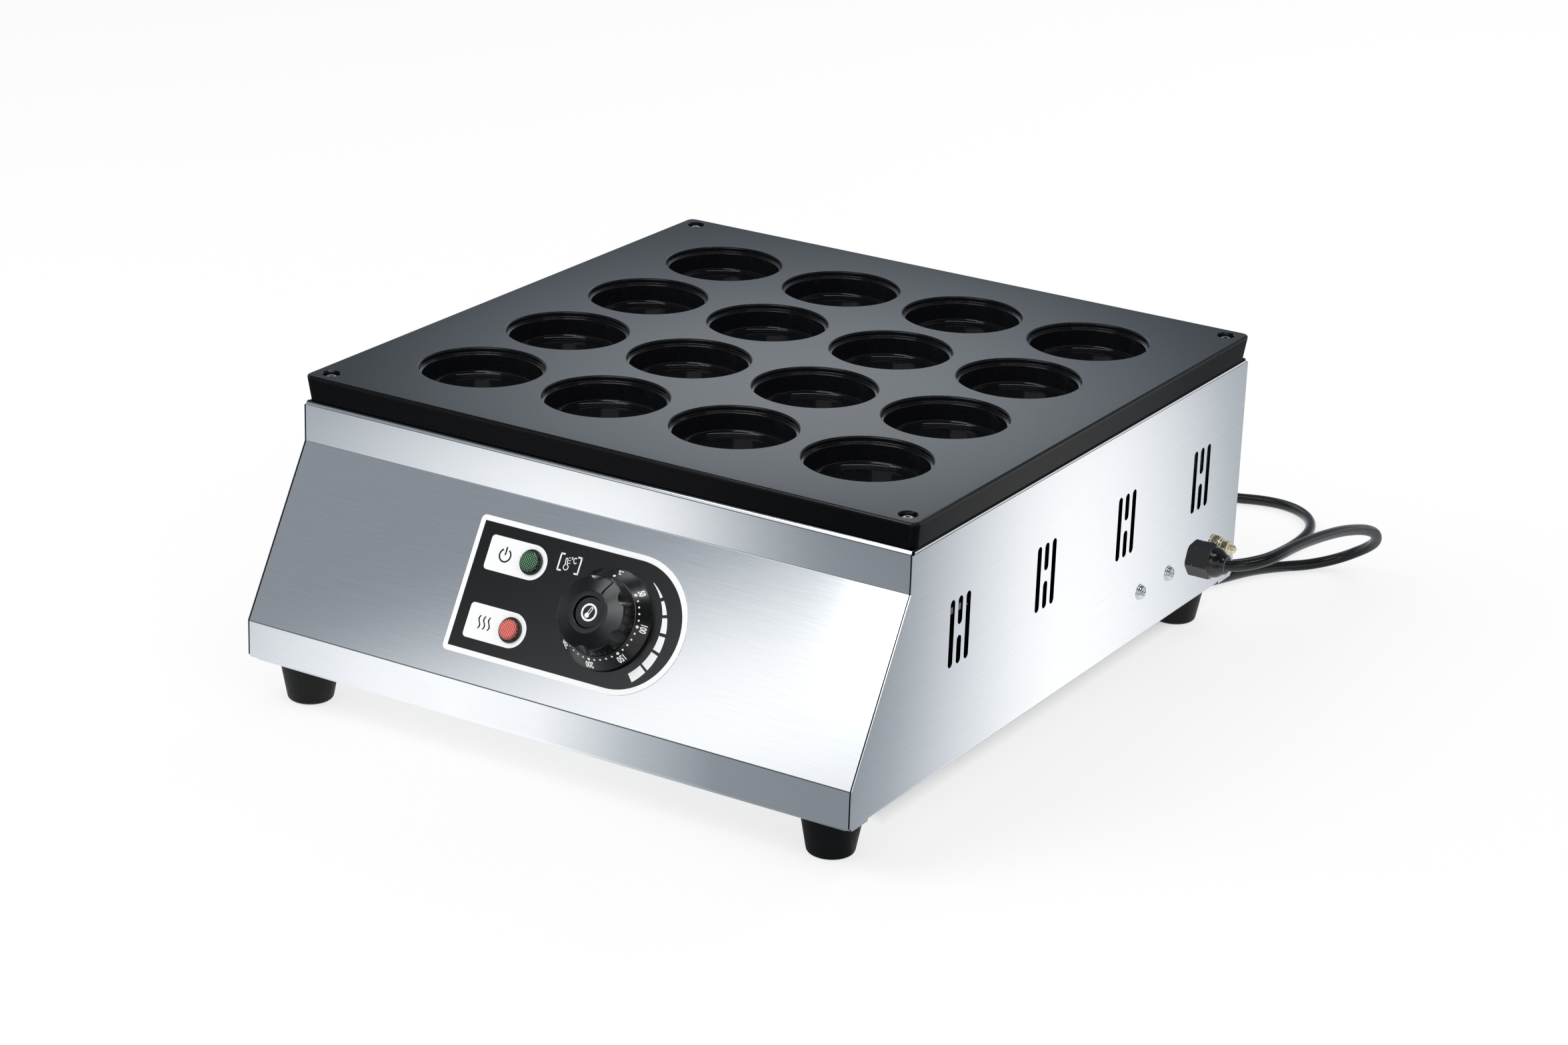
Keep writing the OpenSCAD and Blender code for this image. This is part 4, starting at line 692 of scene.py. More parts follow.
plate = block("coated_mould_plate", PLATE_W, PLATE_D, PLATE_T)
mark(plate, "FACE", lambda f: f.normal.z < -0.9)
bpy.ops.transform.resize(value=(1 - 2 * PLATE_DRAFT / PLATE_W, 1 - 2 * PLATE_DRAFT / PLATE_D, 1))
mark(plate, "EDGE", lambda e: abs((e.verts[0].co - e.verts[1].co).z) > 0.9 * PLATE_T * MM)
bpy.ops.mesh.bevel(offset=CORNER_R * MM, segments=8)
mark(plate, "EDGE", lambda e: min(v.co.z for v in e.verts) > 0.49 * PLATE_T * MM)
bpy.ops.mesh.bevel(offset=EDGE_R * MM, segments=5)
rows = [(i - (ROWS - 1) / 2) * PITCH for i in range(ROWS)]
for way, lines in (
    (Vector((1, 0, 0)), (*rows, -WELL_X, WELL_X, -PITCH, 0, PITCH)),
    (Vector((0, 1, 0)), (*rows, -WELL_Y, WELL_Y, -PITCH, PITCH)),
):
    for line in lines:
        mark(plate, "FACE", lambda f: True)
        bpy.ops.mesh.bisect(plane_co=way * (line + LINE_PAST) * MM, plane_no=way)
choose(plate)
plate.location.z = (TOP_Z + PLATE_T / 2) * MM
apply_place()

pocket_spots = [moved(x, y) for x in rows for y in rows]
cup_top = TOP_Z + OVERLAP
cup_foot = [(0, CUP_Z), (CUP_R - 2, CUP_Z), *arc(CUP_R - 2, CUP_Z + 1, 1, -90, 0, 3)]
cup = turned("cup", [*cup_foot, (CUP_R, cup_top), (0, cup_top)])
cut(plate, copies(cup, pocket_spots), "UNION")
boss = turned("boss", [(0, BOSS_Z), (BOSS_R, BOSS_Z), (BOSS_R, cup_top), (0, cup_top)], 32)
cut(plate, copies(boss, [moved(x * PITCH, y * PITCH) for x in (-1, 0, 1) for y in (-1, 1)]), "UNION")
print("plate block with cups:", len(plate.data.polygons), "faces")

# %% Pockets and screw wells
MOUTH_R, LIP_R, LEDGE_DEPTH, LEDGE_FILLET = 36.0, 1.0, 3.2, 0.6
WALL_R, FLOOR_R, FLOOR_FILLET, POCKET_DEPTH = 34.0, 29.9, 3.5, 16.0
WELL_R, WELL_DEPTH, WELL_EASE, SCREW_HOLE_R, HOLE_DEPTH = 5.0, 5.7, 0.6, 3.3, 16
# The cutting shapes stand this far out of the plate, so that they cut clean through its top.
CLEAR = 1

pocket = turned(
    "pocket",
    [
        (0, CLEAR), (MOUTH_R + LIP_R, CLEAR), *arc(MOUTH_R + LIP_R, -LIP_R, LIP_R, 90, 180, 5),
        (MOUTH_R, LEDGE_FILLET - LEDGE_DEPTH),
        *arc(MOUTH_R - LEDGE_FILLET, LEDGE_FILLET - LEDGE_DEPTH, LEDGE_FILLET, 0, -90, 3),
        *arc(WALL_R + LIP_R, -LEDGE_DEPTH - LIP_R, LIP_R, 90, 180, 5),
        *arc(FLOOR_R, FLOOR_FILLET - POCKET_DEPTH, FLOOR_FILLET, 0, -90, 7), (0, -POCKET_DEPTH),
    ],
    112,
)
to_top = moved(z=PLATE_TOP_Z)
cut(plate, copies(pocket, [to_top @ spot for spot in pocket_spots]))
well = turned(
    "well",
    [
        (0, CLEAR), (WELL_R + WELL_EASE, CLEAR), (WELL_R + WELL_EASE, 0), (WELL_R, -WELL_EASE), (WELL_R, -WELL_DEPTH),
        (SCREW_HOLE_R, -WELL_DEPTH), (SCREW_HOLE_R, -HOLE_DEPTH), (0, -HOLE_DEPTH),
    ],
    40,
)
corner_spots = [moved(x * WELL_X, y * WELL_Y) for x in (-1, 1) for y in (-1, 1)]
cut(plate, copies(well, [to_top @ spot for spot in corner_spots]))
settle(plate, mould_coat, ["mould_plate"], centring)

# %% [markdown]
# A screw in each corner well holds the plate down. Its head is a low dome with a hexagonal socket, so that only the
# crown of it catches the light while the rest mirrors the black well.

# %% Plate screws
SCREW_HEAD_R, SCREW_HEAD_H, SCREW_R, SCREW_TIP_R, SCREW_TIP_Z = 4.7, 4.4, 3.0, 2.5, 156.1
DOME_R, DOME_RISE, SOCKET_R, SOCKET_H = 3.0, 1.4, 1.5, 4
head_z = PLATE_TOP_Z - WELL_DEPTH
screw = turned(
    "plate_corner_screws",
    [
        (0, SCREW_TIP_Z), (SCREW_TIP_R, SCREW_TIP_Z), (SCREW_R, SCREW_TIP_Z + 0.6), (SCREW_R, head_z),
        (SCREW_HEAD_R, head_z), *arc(SCREW_HEAD_R - DOME_R, head_z + DOME_RISE, DOME_R, 0, 80, 9),
        (0, head_z + SCREW_HEAD_H),
    ],
    48,
)
socket = rod("socket", 6, SOCKET_R, SOCKET_H)
cut(screw, copies(socket, [moved(z=head_z + SCREW_HEAD_H)]))
soften(screw, 0.12, 2, 40)
settle(copies(screw, [centring @ spot for spot in corner_spots]), bright_zinc, ["plate_screws"])

# %% [markdown]
# The housing is folded from 1.2 mm sheet: a front with three bands, two side panels with punched vents, a plain back
# and a base. Their CAD shapes are already right, but a real sheared edge is never knife sharp. A copy of each is
# merged from loose triangles, its flat areas are dissolved into single faces, and the bevel modifier takes a
# quarter of a millimetre off every edge, which is enough to draw a fine bright line along the folds and vents.

# %% Sheet panels with softened edges
SHEET_WELD, FLAT_ANGLE, SHEET_EASE = 0.005, 0.4, 0.25
for name in ("front_panel", "left_side_panel", "right_side_panel", "rear_panel", "base_plate"):
    panel = nodes[name].copy()
    panel.data = nodes[name].data.copy()
    panel.name = panel.data.name = "folded_" + name
    panel.parent = None
    panel.matrix_world = Matrix.Identity(4)
    scene.collection.objects.link(panel)
    mark(panel, "FACE", lambda f: True)
    bpy.ops.mesh.remove_doubles(threshold=SHEET_WELD * MM)
    bpy.ops.mesh.dissolve_limited(angle_limit=math.radians(FLAT_ANGLE))
    soften(panel, SHEET_EASE, 2, 35)
    settle(panel, vented_steel if "side" in name else satin_steel, [name])

# %% [markdown]
# The control panel is a printed plastic film glued to the slope: white, with a black field inside a white border,
# half round at the right. Each print is a very thin shape laid on the one below, cut from a drawn outline. That
# keeps every edge crisp at any distance, where a painted texture would blur.

# %% Overlay film and its black field
OVERLAY_LEFT, OVERLAY_RIGHT, OVERLAY_HALF, OVERLAY_T = -68.4, 77.4, 38.9, 0.5
BORDER, PRINT_T = 3.1, 0.05


def half_round(left, right, half, corner, middle=0.0):
    """The outline of a tab with rounded corners at the left and a half round end at the right."""
    return [
        *arc(right - half, middle, half, -90, 90, 36),
        *arc(left + corner, middle + half - corner, corner, 90, 180, 5),
        *arc(left + corner, middle + corner - half, corner, 180, 270, 5),
    ]


film = sheet_cut("overlay_film", half_round(OVERLAY_LEFT, OVERLAY_RIGHT, OVERLAY_HALF, 3), OVERLAY_T)
soften(film, 0.12)
settle(film, film_white, ["control_overlay"], slope_at(0, DIAL_S))
field = sheet_cut(
    "overlay_field", half_round(OVERLAY_LEFT + BORDER, OVERLAY_RIGHT - BORDER, OVERLAY_HALF - BORDER, 0.3), PRINT_T
)
settle(field, film_black, spot=slope_at(0, DIAL_S, OVERLAY_T))

# %% [markdown]
# On the black field there are two white tabs for the lamps, a bracketed thermometer, and six segments that grow
# round the dial from cool to hot. Beside each lamp a plain symbol stands for mains and heat. Each is drawn from a few
# outlines: a straight stroke, a curved one, a thermometer, and a segment between two circles with different middles.


# %% Outlines of the prints
def printed(name, outlines, finish, spot):
    """Thin printed shapes joined into one piece."""
    shapes = [sheet_cut(name, outline, PRINT_T) for outline in outlines]
    return settle(joined(*shapes), finish, spot=spot)


def bar(x0, y0, x1, y1, width):
    """The outline of a straight stroke."""
    start, end = Vector((x0, y0)), Vector((x1, y1))
    along = (end - start).normalized() * width / 2
    side = Vector((-along.y, along.x))
    return [tuple(p) for p in (start - side, end - side, end + side, start + side)]


def ring(x, y, r, width, start, end, parts=32):
    """The outline of a curved stroke."""
    return arc(x, y, r + width / 2, start, end, parts) + arc(x, y, r - width / 2, end, start, parts)


def thermometer(x, y, bulb, stem, top, rim=0.0, lean=0.0):
    """The outline of a small thermometer: a bulb with a round-topped stem, its rim drawn in by so much."""
    gap = math.degrees(math.asin((stem - rim) / (bulb - rim)))
    shape = arc(0, 0, bulb - rim, 90 + gap, 450 - gap, 24) + arc(0, top, stem - rim, 0, 180, 10)
    turn = Matrix.Rotation(math.radians(lean), 2)
    return [tuple(turn @ Vector(p) + Vector((x, y))) for p in shape]


SEGMENT_MIDDLE, SEGMENT_PARTS = Vector((26.0, 0.25)), 6
OUTER_CIRCLE, INNER_CIRCLE = ((32.33, -3.31), 33.61), ((29.64, -0.33), 32.3)


def on_ray(angle, centre, r):
    """Where a ray from the segments' middle, clockwise from up, meets a circle."""
    ray = Vector((math.sin(math.radians(angle)), math.cos(math.radians(angle))))
    gap = SEGMENT_MIDDLE - Vector(centre)
    along = -gap.dot(ray) + math.sqrt(gap.dot(ray) ** 2 - gap.length_squared + r * r)
    return tuple(SEGMENT_MIDDLE + along * ray)


def segment(start, end):
    """One heat segment between an inner and an outer circle that aren't concentric, so that it widens clockwise."""
    angles = [start + (end - start) * i / SEGMENT_PARTS for i in range(SEGMENT_PARTS + 1)]
    return [on_ray(a, *OUTER_CIRCLE) for a in angles] + [on_ray(a, *INNER_CIRCLE) for a in reversed(angles)]


# %% White and black prints
SEGMENT_ENDS = ((42.4, 58.4), (61.8, 74), (76.7, 89.3), (92.1, 104.7), (107.2, 120.6), (122.7, 136))
TAB_LEFT, TAB_RIGHT, TAB_HALF, TAB_CORNER = -58, -18.8, 9.9, 2.2
BRACKET_W, TICK_W = 0.9, 0.36
GAUGE = {"x": -6.9, "y": 21.7, "bulb": 1.75, "stem": 0.85, "top": 4.4, "lean": 9}
GAUGE_RIM = 0.52
print_spot = slope_at(0, DIAL_S, OVERLAY_T + PRINT_T)
upper_print = slope_at(0, DIAL_S, OVERLAY_T + 2 * PRINT_T)

tabs = [half_round(TAB_LEFT, TAB_RIGHT, TAB_HALF, TAB_CORNER, y) for y in LAMP_YS.values()]
printed("overlay_tabs", tabs, film_white, print_spot)
printed("overlay_heat_segments", [segment(*ends) for ends in SEGMENT_ENDS], film_white, print_spot)
brackets = [bar(x, y, x1, y, BRACKET_W) for x, x1 in ((-12.3, -9.4), (1.9, -1.0)) for y in (28.6, 19.4)]
brackets += [bar(x, 29.05, x, 18.95, BRACKET_W) for x in (-11.85, 1.45)]
ticks = [bar(-6.0 - 0.3 * k, y, -4.8 - 0.25 * k, y + 0.45, TICK_W) for k, y in enumerate((24.0, 25.5, 27.0))]
printed("overlay_brackets", brackets + ticks + [thermometer(**GAUGE)], film_white, print_spot)
printed("overlay_bulb", [thermometer(**GAUGE, rim=GAUGE_RIM)], film_black, upper_print)

SYMBOL_X, SYMBOL_R, SYMBOL_W = -46.5, 3.6, 0.95
WAVE_PARTS, WAVE_STEP, WAVE_SWING, WAVE_GAP, WAVE_W = 12, 0.62, 0.8, 3.2, 0.9
wave = [
    (math.sin(i / WAVE_PARTS * 2 * math.pi) * WAVE_SWING, LAMP_YS["red"] + (i - WAVE_PARTS / 2) * WAVE_STEP)
    for i in range(WAVE_PARTS + 1)
]
waves = []
for x in (SYMBOL_X - WAVE_GAP, SYMBOL_X, SYMBOL_X + WAVE_GAP):
    left = [(x + swing - WAVE_W / 2, y) for swing, y in wave]
    right = [(x + swing + WAVE_W / 2, y) for swing, y in reversed(wave)]
    waves.append(left + right)
mains = [ring(SYMBOL_X, LAMP_YS["green"], SYMBOL_R, SYMBOL_W, 120, 420), bar(SYMBOL_X, 24.2, SYMBOL_X, 19.6, SYMBOL_W)]
printed("overlay_symbols", mains + waves, film_black, upper_print)

# %% [markdown]
# The dial is a black moulded ring with a 45 degree cone, and the scale is printed on the cone. Each number is a text
# object made into a mesh, thin enough to read as print, and set square to the cone with its top outwards. A dot
# stands at each number and four small dots between.

# %% Dial ring
DIAL_X, DIAL_R, DIAL_BORE, DIAL_HOLE, DIAL_STEP = 28.1, 28.4, 17.5, 5.3, 2
CONE_TOP_R, CONE_TOP_Z, CONE_FALL = 22.12, 8.32, 0.9745
dial = turned(
    "numbered_dial",
    [
        (DIAL_HOLE, 0), (DIAL_R, 0), (DIAL_R, DIAL_STEP), *arc(DIAL_R - 0.5, DIAL_STEP, 0.5, 0, 45, 3),
        *arc(21.7, 7.9, 0.6, 45, 90, 3), *arc(DIAL_BORE + 0.6, 7.9, 0.6, 90, 180, 3), (DIAL_BORE, DIAL_STEP),
        (DIAL_HOLE, DIAL_STEP), (DIAL_HOLE, 0),
    ],
    112,
)
dial_spot = slope_at(DIAL_X, DIAL_S, OVERLAY_T)
settle(dial, knob_black, ["dial_plate"], dial_spot)


def on_cone(angle, r):
    """A place on the dial's cone, clockwise from up: x along the scale, y outwards down the cone, z off it."""
    out = Vector((math.sin(math.radians(angle)), math.cos(math.radians(angle)), 0))
    down = (out - Vector((0, 0, CONE_FALL))).normalized()
    along = Vector((out.y, -out.x, 0))
    spot = Matrix((along, down, along.cross(down))).transposed().to_4x4()
    spot.translation = (out * r + Vector((0, 0, CONE_TOP_Z - (r - CONE_TOP_R) * CONE_FALL))) * MM
    return spot


# %% Dial numbers and dots
# The height of a figure as a share of the font's size.
FIGURE_SHARE, FIGURE_T = 0.69, 0.12


def figures(name, body, height, squeeze, heavy):
    """A number as a thin mesh with its middle at the origin, so high in millimetres."""
    choose()
    bpy.ops.object.text_add()
    text = bpy.context.object
    text.name = name
    text.data.body = body
    text.data.align_x, text.data.align_y = "CENTER", "CENTER"
    text.data.size = height / FIGURE_SHARE * MM
    text.data.offset = heavy * MM
    text.data.extrude = FIGURE_T * MM
    text.scale.x = squeeze
    bpy.ops.object.convert(target="MESH")
    apply_place()
    return bpy.context.object


SCALE_MARKS = {50: 46, 100: 90, 150: 134.5, 200: 179, 250: 224}
SCALE_START, SCALE_STEP, SMALL_DOTS = 46, 44.5, 4
DOT_R, NUMBER_R, UNIT_R = 23.4, 25.8, 25.9
numbers = [copies(figures("number", str(n), 3.7, 0.62, 0.15), [on_cone(a, NUMBER_R)]) for n, a in SCALE_MARKS.items()]
numbers.append(copies(figures("unit", "°C", 3.1, 0.66, 0.12), [on_cone(4, UNIT_R)]))
big_dot = turned("dial_scale", [(0, -0.2), (0.84, -0.2), (0.84, 0.03), (0.6, 0.1), (0, 0.12)], 20)
small_dot = turned("small_dot", [(0, -0.2), (0.56, -0.2), (0.56, 0.03), (0.38, 0.08), (0, 0.1)], 16)
big_dots = copies(big_dot, [on_cone(a, DOT_R) for a in (1, *SCALE_MARKS.values())])
small_angles = [
    SCALE_START + SCALE_STEP * (k + i / (SMALL_DOTS + 1))
    for k in range(len(SCALE_MARKS) - 1) for i in range(1, SMALL_DOTS + 1)
]
small_dots = copies(small_dot, [on_cone(a, DOT_R) for a in small_angles])
settle(joined(big_dots, small_dots, *numbers), film_white, spot=dial_spot)
unit_spot = print_spot @ moved(-2.9, 26.0, -0.07) @ swung("Z", GAUGE["lean"])
settle(figures("overlay_unit", "°C", 3.4, 0.66, 0.06), film_white, spot=unit_spot)

# %% [markdown]
# The knob is turned, then six leaning cylinders are cut from it for the fingers, and a pointer groove runs out from
# the raised ring. The bevel modifier rounds the cut edges as moulding does. The knob, its cap and the symbol on the
# cap turn with the spindle, so they ride on the control body.

# %% Grip knob
KNOB_FOOT, KNOB_R, KNOB_TURN, RECESS_R, RECESS_Z = 9.3, 21.5, 25, 8.8, 9.2
FINGERS, FINGER_R, FINGER_H, FINGER_LEAN = 6, 6.5, 26.4, -18.3
GROOVE_W, GROOVE_LEN, GROOVE_H, GROOVE_TILT = 2.1, 21.5, 4, -15.9
knob_turn = swung("Z", -KNOB_TURN)
knob = turned(
    "grip_knob",
    [
        (0, 0), (KNOB_R, 0), (KNOB_R, 0.8), *arc(19.6, 9.4, 1.2, 0, 70, 5), (11.9, 12.7),
        *arc(11.3, 12.7, 0.5, 0, 90, 3), *arc(RECESS_R + 0.6, 12.6, 0.6, 90, 180, 3), (RECESS_R, RECESS_Z),
        (0, RECESS_Z),
    ],
    144,
)
finger = rod("finger", 96, FINGER_R, FINGER_H)
lean = moved(28.3, 0, 0.8) @ swung("Y", FINGER_LEAN) @ moved(z=9.2)
cut(knob, copies(finger, [swung("Z", 120 + 360 / FINGERS * k) @ lean for k in range(FINGERS)]))
groove = block("groove", GROOVE_W, GROOVE_LEN, GROOVE_H)
cut(knob, copies(groove, [moved(0, 11.9, 8.6) @ swung("X", GROOVE_TILT) @ moved(0, 9.75, 5.2)]))
soften(knob, 0.45, 3, 28)
settle(knob, knob_black, ["knob"], slope_at(DIAL_X, DIAL_S, KNOB_FOOT) @ knob_turn, "control")

# %% Knob cap and its symbol
CAP_FOOT, CAP_R, CAP_H = 18.5, 8.6, 2.3
SYMBOL_IN, SYMBOL_OUT = 3.8, 4.9
BORE_HALF, BORE_LOW, BORE_HIGH = 0.4, -0.5, 2.8
cap_spot = slope_at(DIAL_X, DIAL_S, CAP_FOOT) @ knob_turn
cap = turned("knob_cap_disc", [(0, 0), (CAP_R, 0), *arc(CAP_R - 0.5, 1.9, 0.5, 0, 90, 4), (7.2, CAP_H), (0, CAP_H)], 80)
settle(cap, knob_black, ["knob_cap"], cap_spot, "control")
cap_print = cap_spot @ moved(z=CAP_H)
cap_ring = turned(
    "cap_symbol",
    [(SYMBOL_IN, 0), (SYMBOL_OUT, 0), (SYMBOL_OUT, PRINT_T), (SYMBOL_IN, PRINT_T), (SYMBOL_IN, 0)],
)
cap_stem = sheet_cut("cap_stem", thermometer(0, -2.0, 1.4, 0.85, 4.6), PRINT_T)
settle(joined(cap_ring, cap_stem), film_white, spot=cap_print, body="control")
bore_outline = [(-BORE_HALF, BORE_LOW), (BORE_HALF, BORE_LOW), (BORE_HALF, BORE_HIGH), (-BORE_HALF, BORE_HIGH)]
cap_bore = sheet_cut("cap_symbol_bore", bore_outline, PRINT_T)
settle(cap_bore, film_black, spot=cap_print @ moved(z=PRINT_T), body="control")

# %% [markdown]
# Each signal lamp is a black moulded rim with a coloured lens. The lens is pressed with a grid of little pyramids that
# break up the light. A cube's top is subdivided, each small face is poked to a point, and the result is trimmed by
# a turned dome.

# %% Signal lamps
LENS_W, LENS_T, LENS_Z, LENS_CUTS, PYRAMID_H = 13, 3, 2.4, 11, 0.42
RIM_PROFILE = [
    (0, -23.2), (4.9, -23.2), (4.9, 0.5), (7.2, 0.5), (7.2, 1.1), *arc(6.6, 1.3, 0.6, 0, 90, 4), (6.1, 1.9),
    (5.95, 1.2), (0, 1.2),
]
DOME_PROFILE = [(0, 1.2), (5.9, 1.2), *arc(4.7, 2.7, 1.2, 0, 75, 5), (3.4, 4.25), (0, 4.45)]
for colour, lens_colour in (("green", green_lens), ("red", red_lens)):
    spot = slope_at(LAMP_X, DIAL_S - LAMP_YS[colour])
    rim = turned(colour + "_lamp_rim", RIM_PROFILE)
    settle(rim, nylon_black, [colour + "_lamp_body"], spot)
    lens = block(colour + "_lamp_lens_dome", LENS_W, LENS_W, LENS_T)
    mark(lens, "FACE", lambda f: f.normal.z > 0.9)
    bpy.ops.mesh.subdivide(number_cuts=LENS_CUTS)
    mark(lens, "FACE", lambda f: f.normal.z > 0.9)
    bpy.ops.mesh.poke(offset=PYRAMID_H * MM)
    choose(lens)
    lens.matrix_world = moved(z=LENS_Z) @ swung("Z", 45)
    apply_place()
    cut(lens, turned("dome", DOME_PROFILE), "INTERSECT")
    settle(lens, lens_colour, [colour + "_lamp_lens"], spot, angle=20)

# %% [markdown]
# Low on the right-hand panel stand two pan-head screws that hold the terminal block inside, the gland for the lead,
# and the earthing stud. The head of a screw is turned, and a tapered cross is cut into it. The washer under it is
# turned too, with its edge rounded.

# %% Terminal screws
SCREW_REACH, CROSS_TURN, CROSS_Z = 27.4, 20, 3.4
head = turned(
    "panel_screws",
    [
        (0, -SCREW_REACH), (1.7, -SCREW_REACH), (2, 0.6 - SCREW_REACH), (2, 0.9), (4.1, 0.9), (4.1, 1.6),
        *arc(2.5, 1.6, 1.6, 0, 60, 6), (1.6, 3.55), (0, 3.7),
    ],
)
for turn in (CROSS_TURN, CROSS_TURN + 90):
    blade = block("blade", 4.6, 0.95, 3)
    mark(blade, "FACE", lambda f: f.normal.z < -0.9)
    bpy.ops.transform.resize(value=(0.35, 0.8, 1))
    cut(head, copies(blade, [swung("Z", turn) @ moved(z=CROSS_Z)]))
soften(head, 0.1, 2, 40)
washer = turned("washer", [(2.1, 0), (4.8, 0), (4.8, 0.9), (2.1, 0.9), (2.1, 0)])
soften(washer, 0.2)
screws = copies(joined(head, washer), [right_at(y, FITTING_Z) for y in SCREW_YS])
settle(screws, bright_zinc, ["terminal_screws"])

# %% [markdown]
# The gland is moulded nylon: a hexagonal collar against the panel, then a cap whose hexagon runs into a dome. A
# hexagon becomes a rounded nut when it is intersected with a turned envelope, which gives each flat its curved
# shoulder. The same move makes the brass-coloured nuts of the earthing stud.


# %% Hexagon helper and the gland
def hexagon_nut(name, across, envelope, turn, bore):
    """A hexagonal bar trimmed by a turned envelope, with a bore through it."""
    height = max(z for _, z in envelope)
    nut = copies(rod(name, 6, across / math.sqrt(3), 2 * height), [swung("Z", turn)])
    cut(nut, turned("envelope", envelope, 72), "INTERSECT")
    cut(nut, turned("bore", [(0, -1), (bore, -1), (bore, height + 1), (0, height + 1)], 40))
    return nut


GLAND_AF, GLAND_TURN, COLLAR_H = 19, 97, 4.6
COLLAR_BORE, CAP_BORE, THREAD_R, THREAD_LEN = 3.55, 4.6, 7.6, 11.2
gland_spot = right_at(GLAND_Y, FITTING_Z)
gland_cap_spot = right_at(GLAND_Y, FITTING_Z, COLLAR_H)
collar_envelope = [
    (0, -THREAD_LEN), (THREAD_R, -THREAD_LEN), (THREAD_R, 0), (10.2, 0), (11.1, 0.5), (11.1, 4.2), (10.5, COLLAR_H),
    (0, COLLAR_H),
]
thread_profile = [
    (COLLAR_BORE, -THREAD_LEN), (7.2, -THREAD_LEN), (THREAD_R, -10.6), (THREAD_R, 0.2), (COLLAR_BORE, 0.2),
    (COLLAR_BORE, -THREAD_LEN),
]
collar = hexagon_nut("gland_collar", GLAND_AF, collar_envelope, GLAND_TURN, COLLAR_BORE)
collar = joined(collar, turned("gland_thread", thread_profile, 48))
soften(collar, 0.3)
settle(collar, nylon_black, ["gland_body"], gland_spot)
cap_envelope = [
    (0, 0), (10.3, 0), (11.1, 0.7), (11.1, 8.2), (10.4, 9.4), (9.5, 9.8), *arc(1.2, 9.9, 8.2, 0, 50, 9), (6.0, 17.6),
    *arc(5.2, 17.8, 0.8, 0, 90, 3), (0, 18.6),
]
gland_cap = hexagon_nut("gland_cap_nut", GLAND_AF, cap_envelope, GLAND_TURN, CAP_BORE)
soften(gland_cap, 0.3, 2, 40)
settle(gland_cap, nylon_black, ["gland_cap"], gland_cap_spot)
seal_profile = [
    (3.4, 8), (CAP_BORE, 8), (CAP_BORE, 18.2), *arc(CAP_BORE - 0.5, 18.2, 0.5, 0, 90, 3), (3.4, 18.5), (3.4, 8)
]
seal = settle(turned("gland_seal", seal_profile, 48), foot_rubber, spot=gland_cap_spot)

# %% [markdown]
# The earthing stud is a bolt through the panel, with washers and two nuts. Its end is the only thread in plain view,
# so it gets a real one: a short tooth is wound up by the screw modifier, and its open ends are filled.

# %% Earthing stud with its thread
STUD_TIP, STUD_R, STUD_HEAD_R, THREAD_PITCH, THREAD_TURNS = 15.7, 2.1, 4.4, 0.8, 6
TOOTH_IN, TOOTH_OUT, TOOTH_FOOT = 2.05, 2.46, STUD_TIP - 5.6
stud_spot = right_at(STUD_Y, FITTING_Z)
stud_thread = drawn(
    "earthing_stud", [(TOOTH_IN, 0, 0), (TOOTH_OUT, 0, 0.3), (TOOTH_OUT, 0, 0.45), (TOOTH_IN, 0, THREAD_PITCH)]
)
bpy.ops.object.mode_set(mode="OBJECT")
apply_modifier(
    stud_thread, "SCREW", axis="Z", screw_offset=THREAD_PITCH * MM, steps=40, render_steps=40,
    iterations=THREAD_TURNS, use_merge_vertices=True,
)
mark(stud_thread, "EDGE", lambda e: True)
bpy.ops.mesh.fill_holes(sides=0)
tidy_mesh()
stud_thread = copies(stud_thread, [moved(z=TOOTH_FOOT)])
stud_core = turned(
    "stud_core",
    [
        (0, -4.7), (4, -4.7), (STUD_HEAD_R, -4.3), (STUD_HEAD_R, -1.2), (STUD_R, -1.2), (STUD_R, STUD_TIP - 0.5),
        (1.5, STUD_TIP), (0, STUD_TIP),
    ],
    40,
)
stud = settle(joined(stud_thread, stud_core), yellow_zinc, ["earth_stud"], stud_spot)

# %% Earthing washers and nuts
WASHER_BORE, NUT_H, NUT_EASE = 2.6, 4, 0.6
washers = [
    turned("earthing_washers", [(WASHER_BORE, z), (r, z), (r, z + t), (WASHER_BORE, z + t), (WASHER_BORE, z)], 56)
    for r, z, t in ((6.5, 0, 1), (5.75, 5, 1), (4.6, 6, 1.3))
]
rings = joined(*washers)
soften(rings, 0.15)
settle(rings, yellow_zinc, ["earth_washers"], stud_spot)
nuts = []
for across, rise, turn in ((11, 1, 0), (8, 7.3, 20)):
    wide, edge = across / math.sqrt(3), across / 2
    envelope = [(0, 0), (edge, 0), (wide, NUT_EASE), (wide, NUT_H - NUT_EASE), (edge, NUT_H), (0, NUT_H)]
    nuts.append(copies(hexagon_nut("earthing_nuts", across, envelope, turn, STUD_R), [moved(z=rise)]))
stack = joined(*nuts)
soften(stack, 0.12, 2, 40)
settle(stack, yellow_zinc, ["earth_nuts"], stud_spot)

# %% [markdown]
# The four feet are moulded rubber cones, wide at the top, with a rounded lower edge and a well for their screw. A
# small rim at the top and a shallow ring in the sole are what a mould leaves.

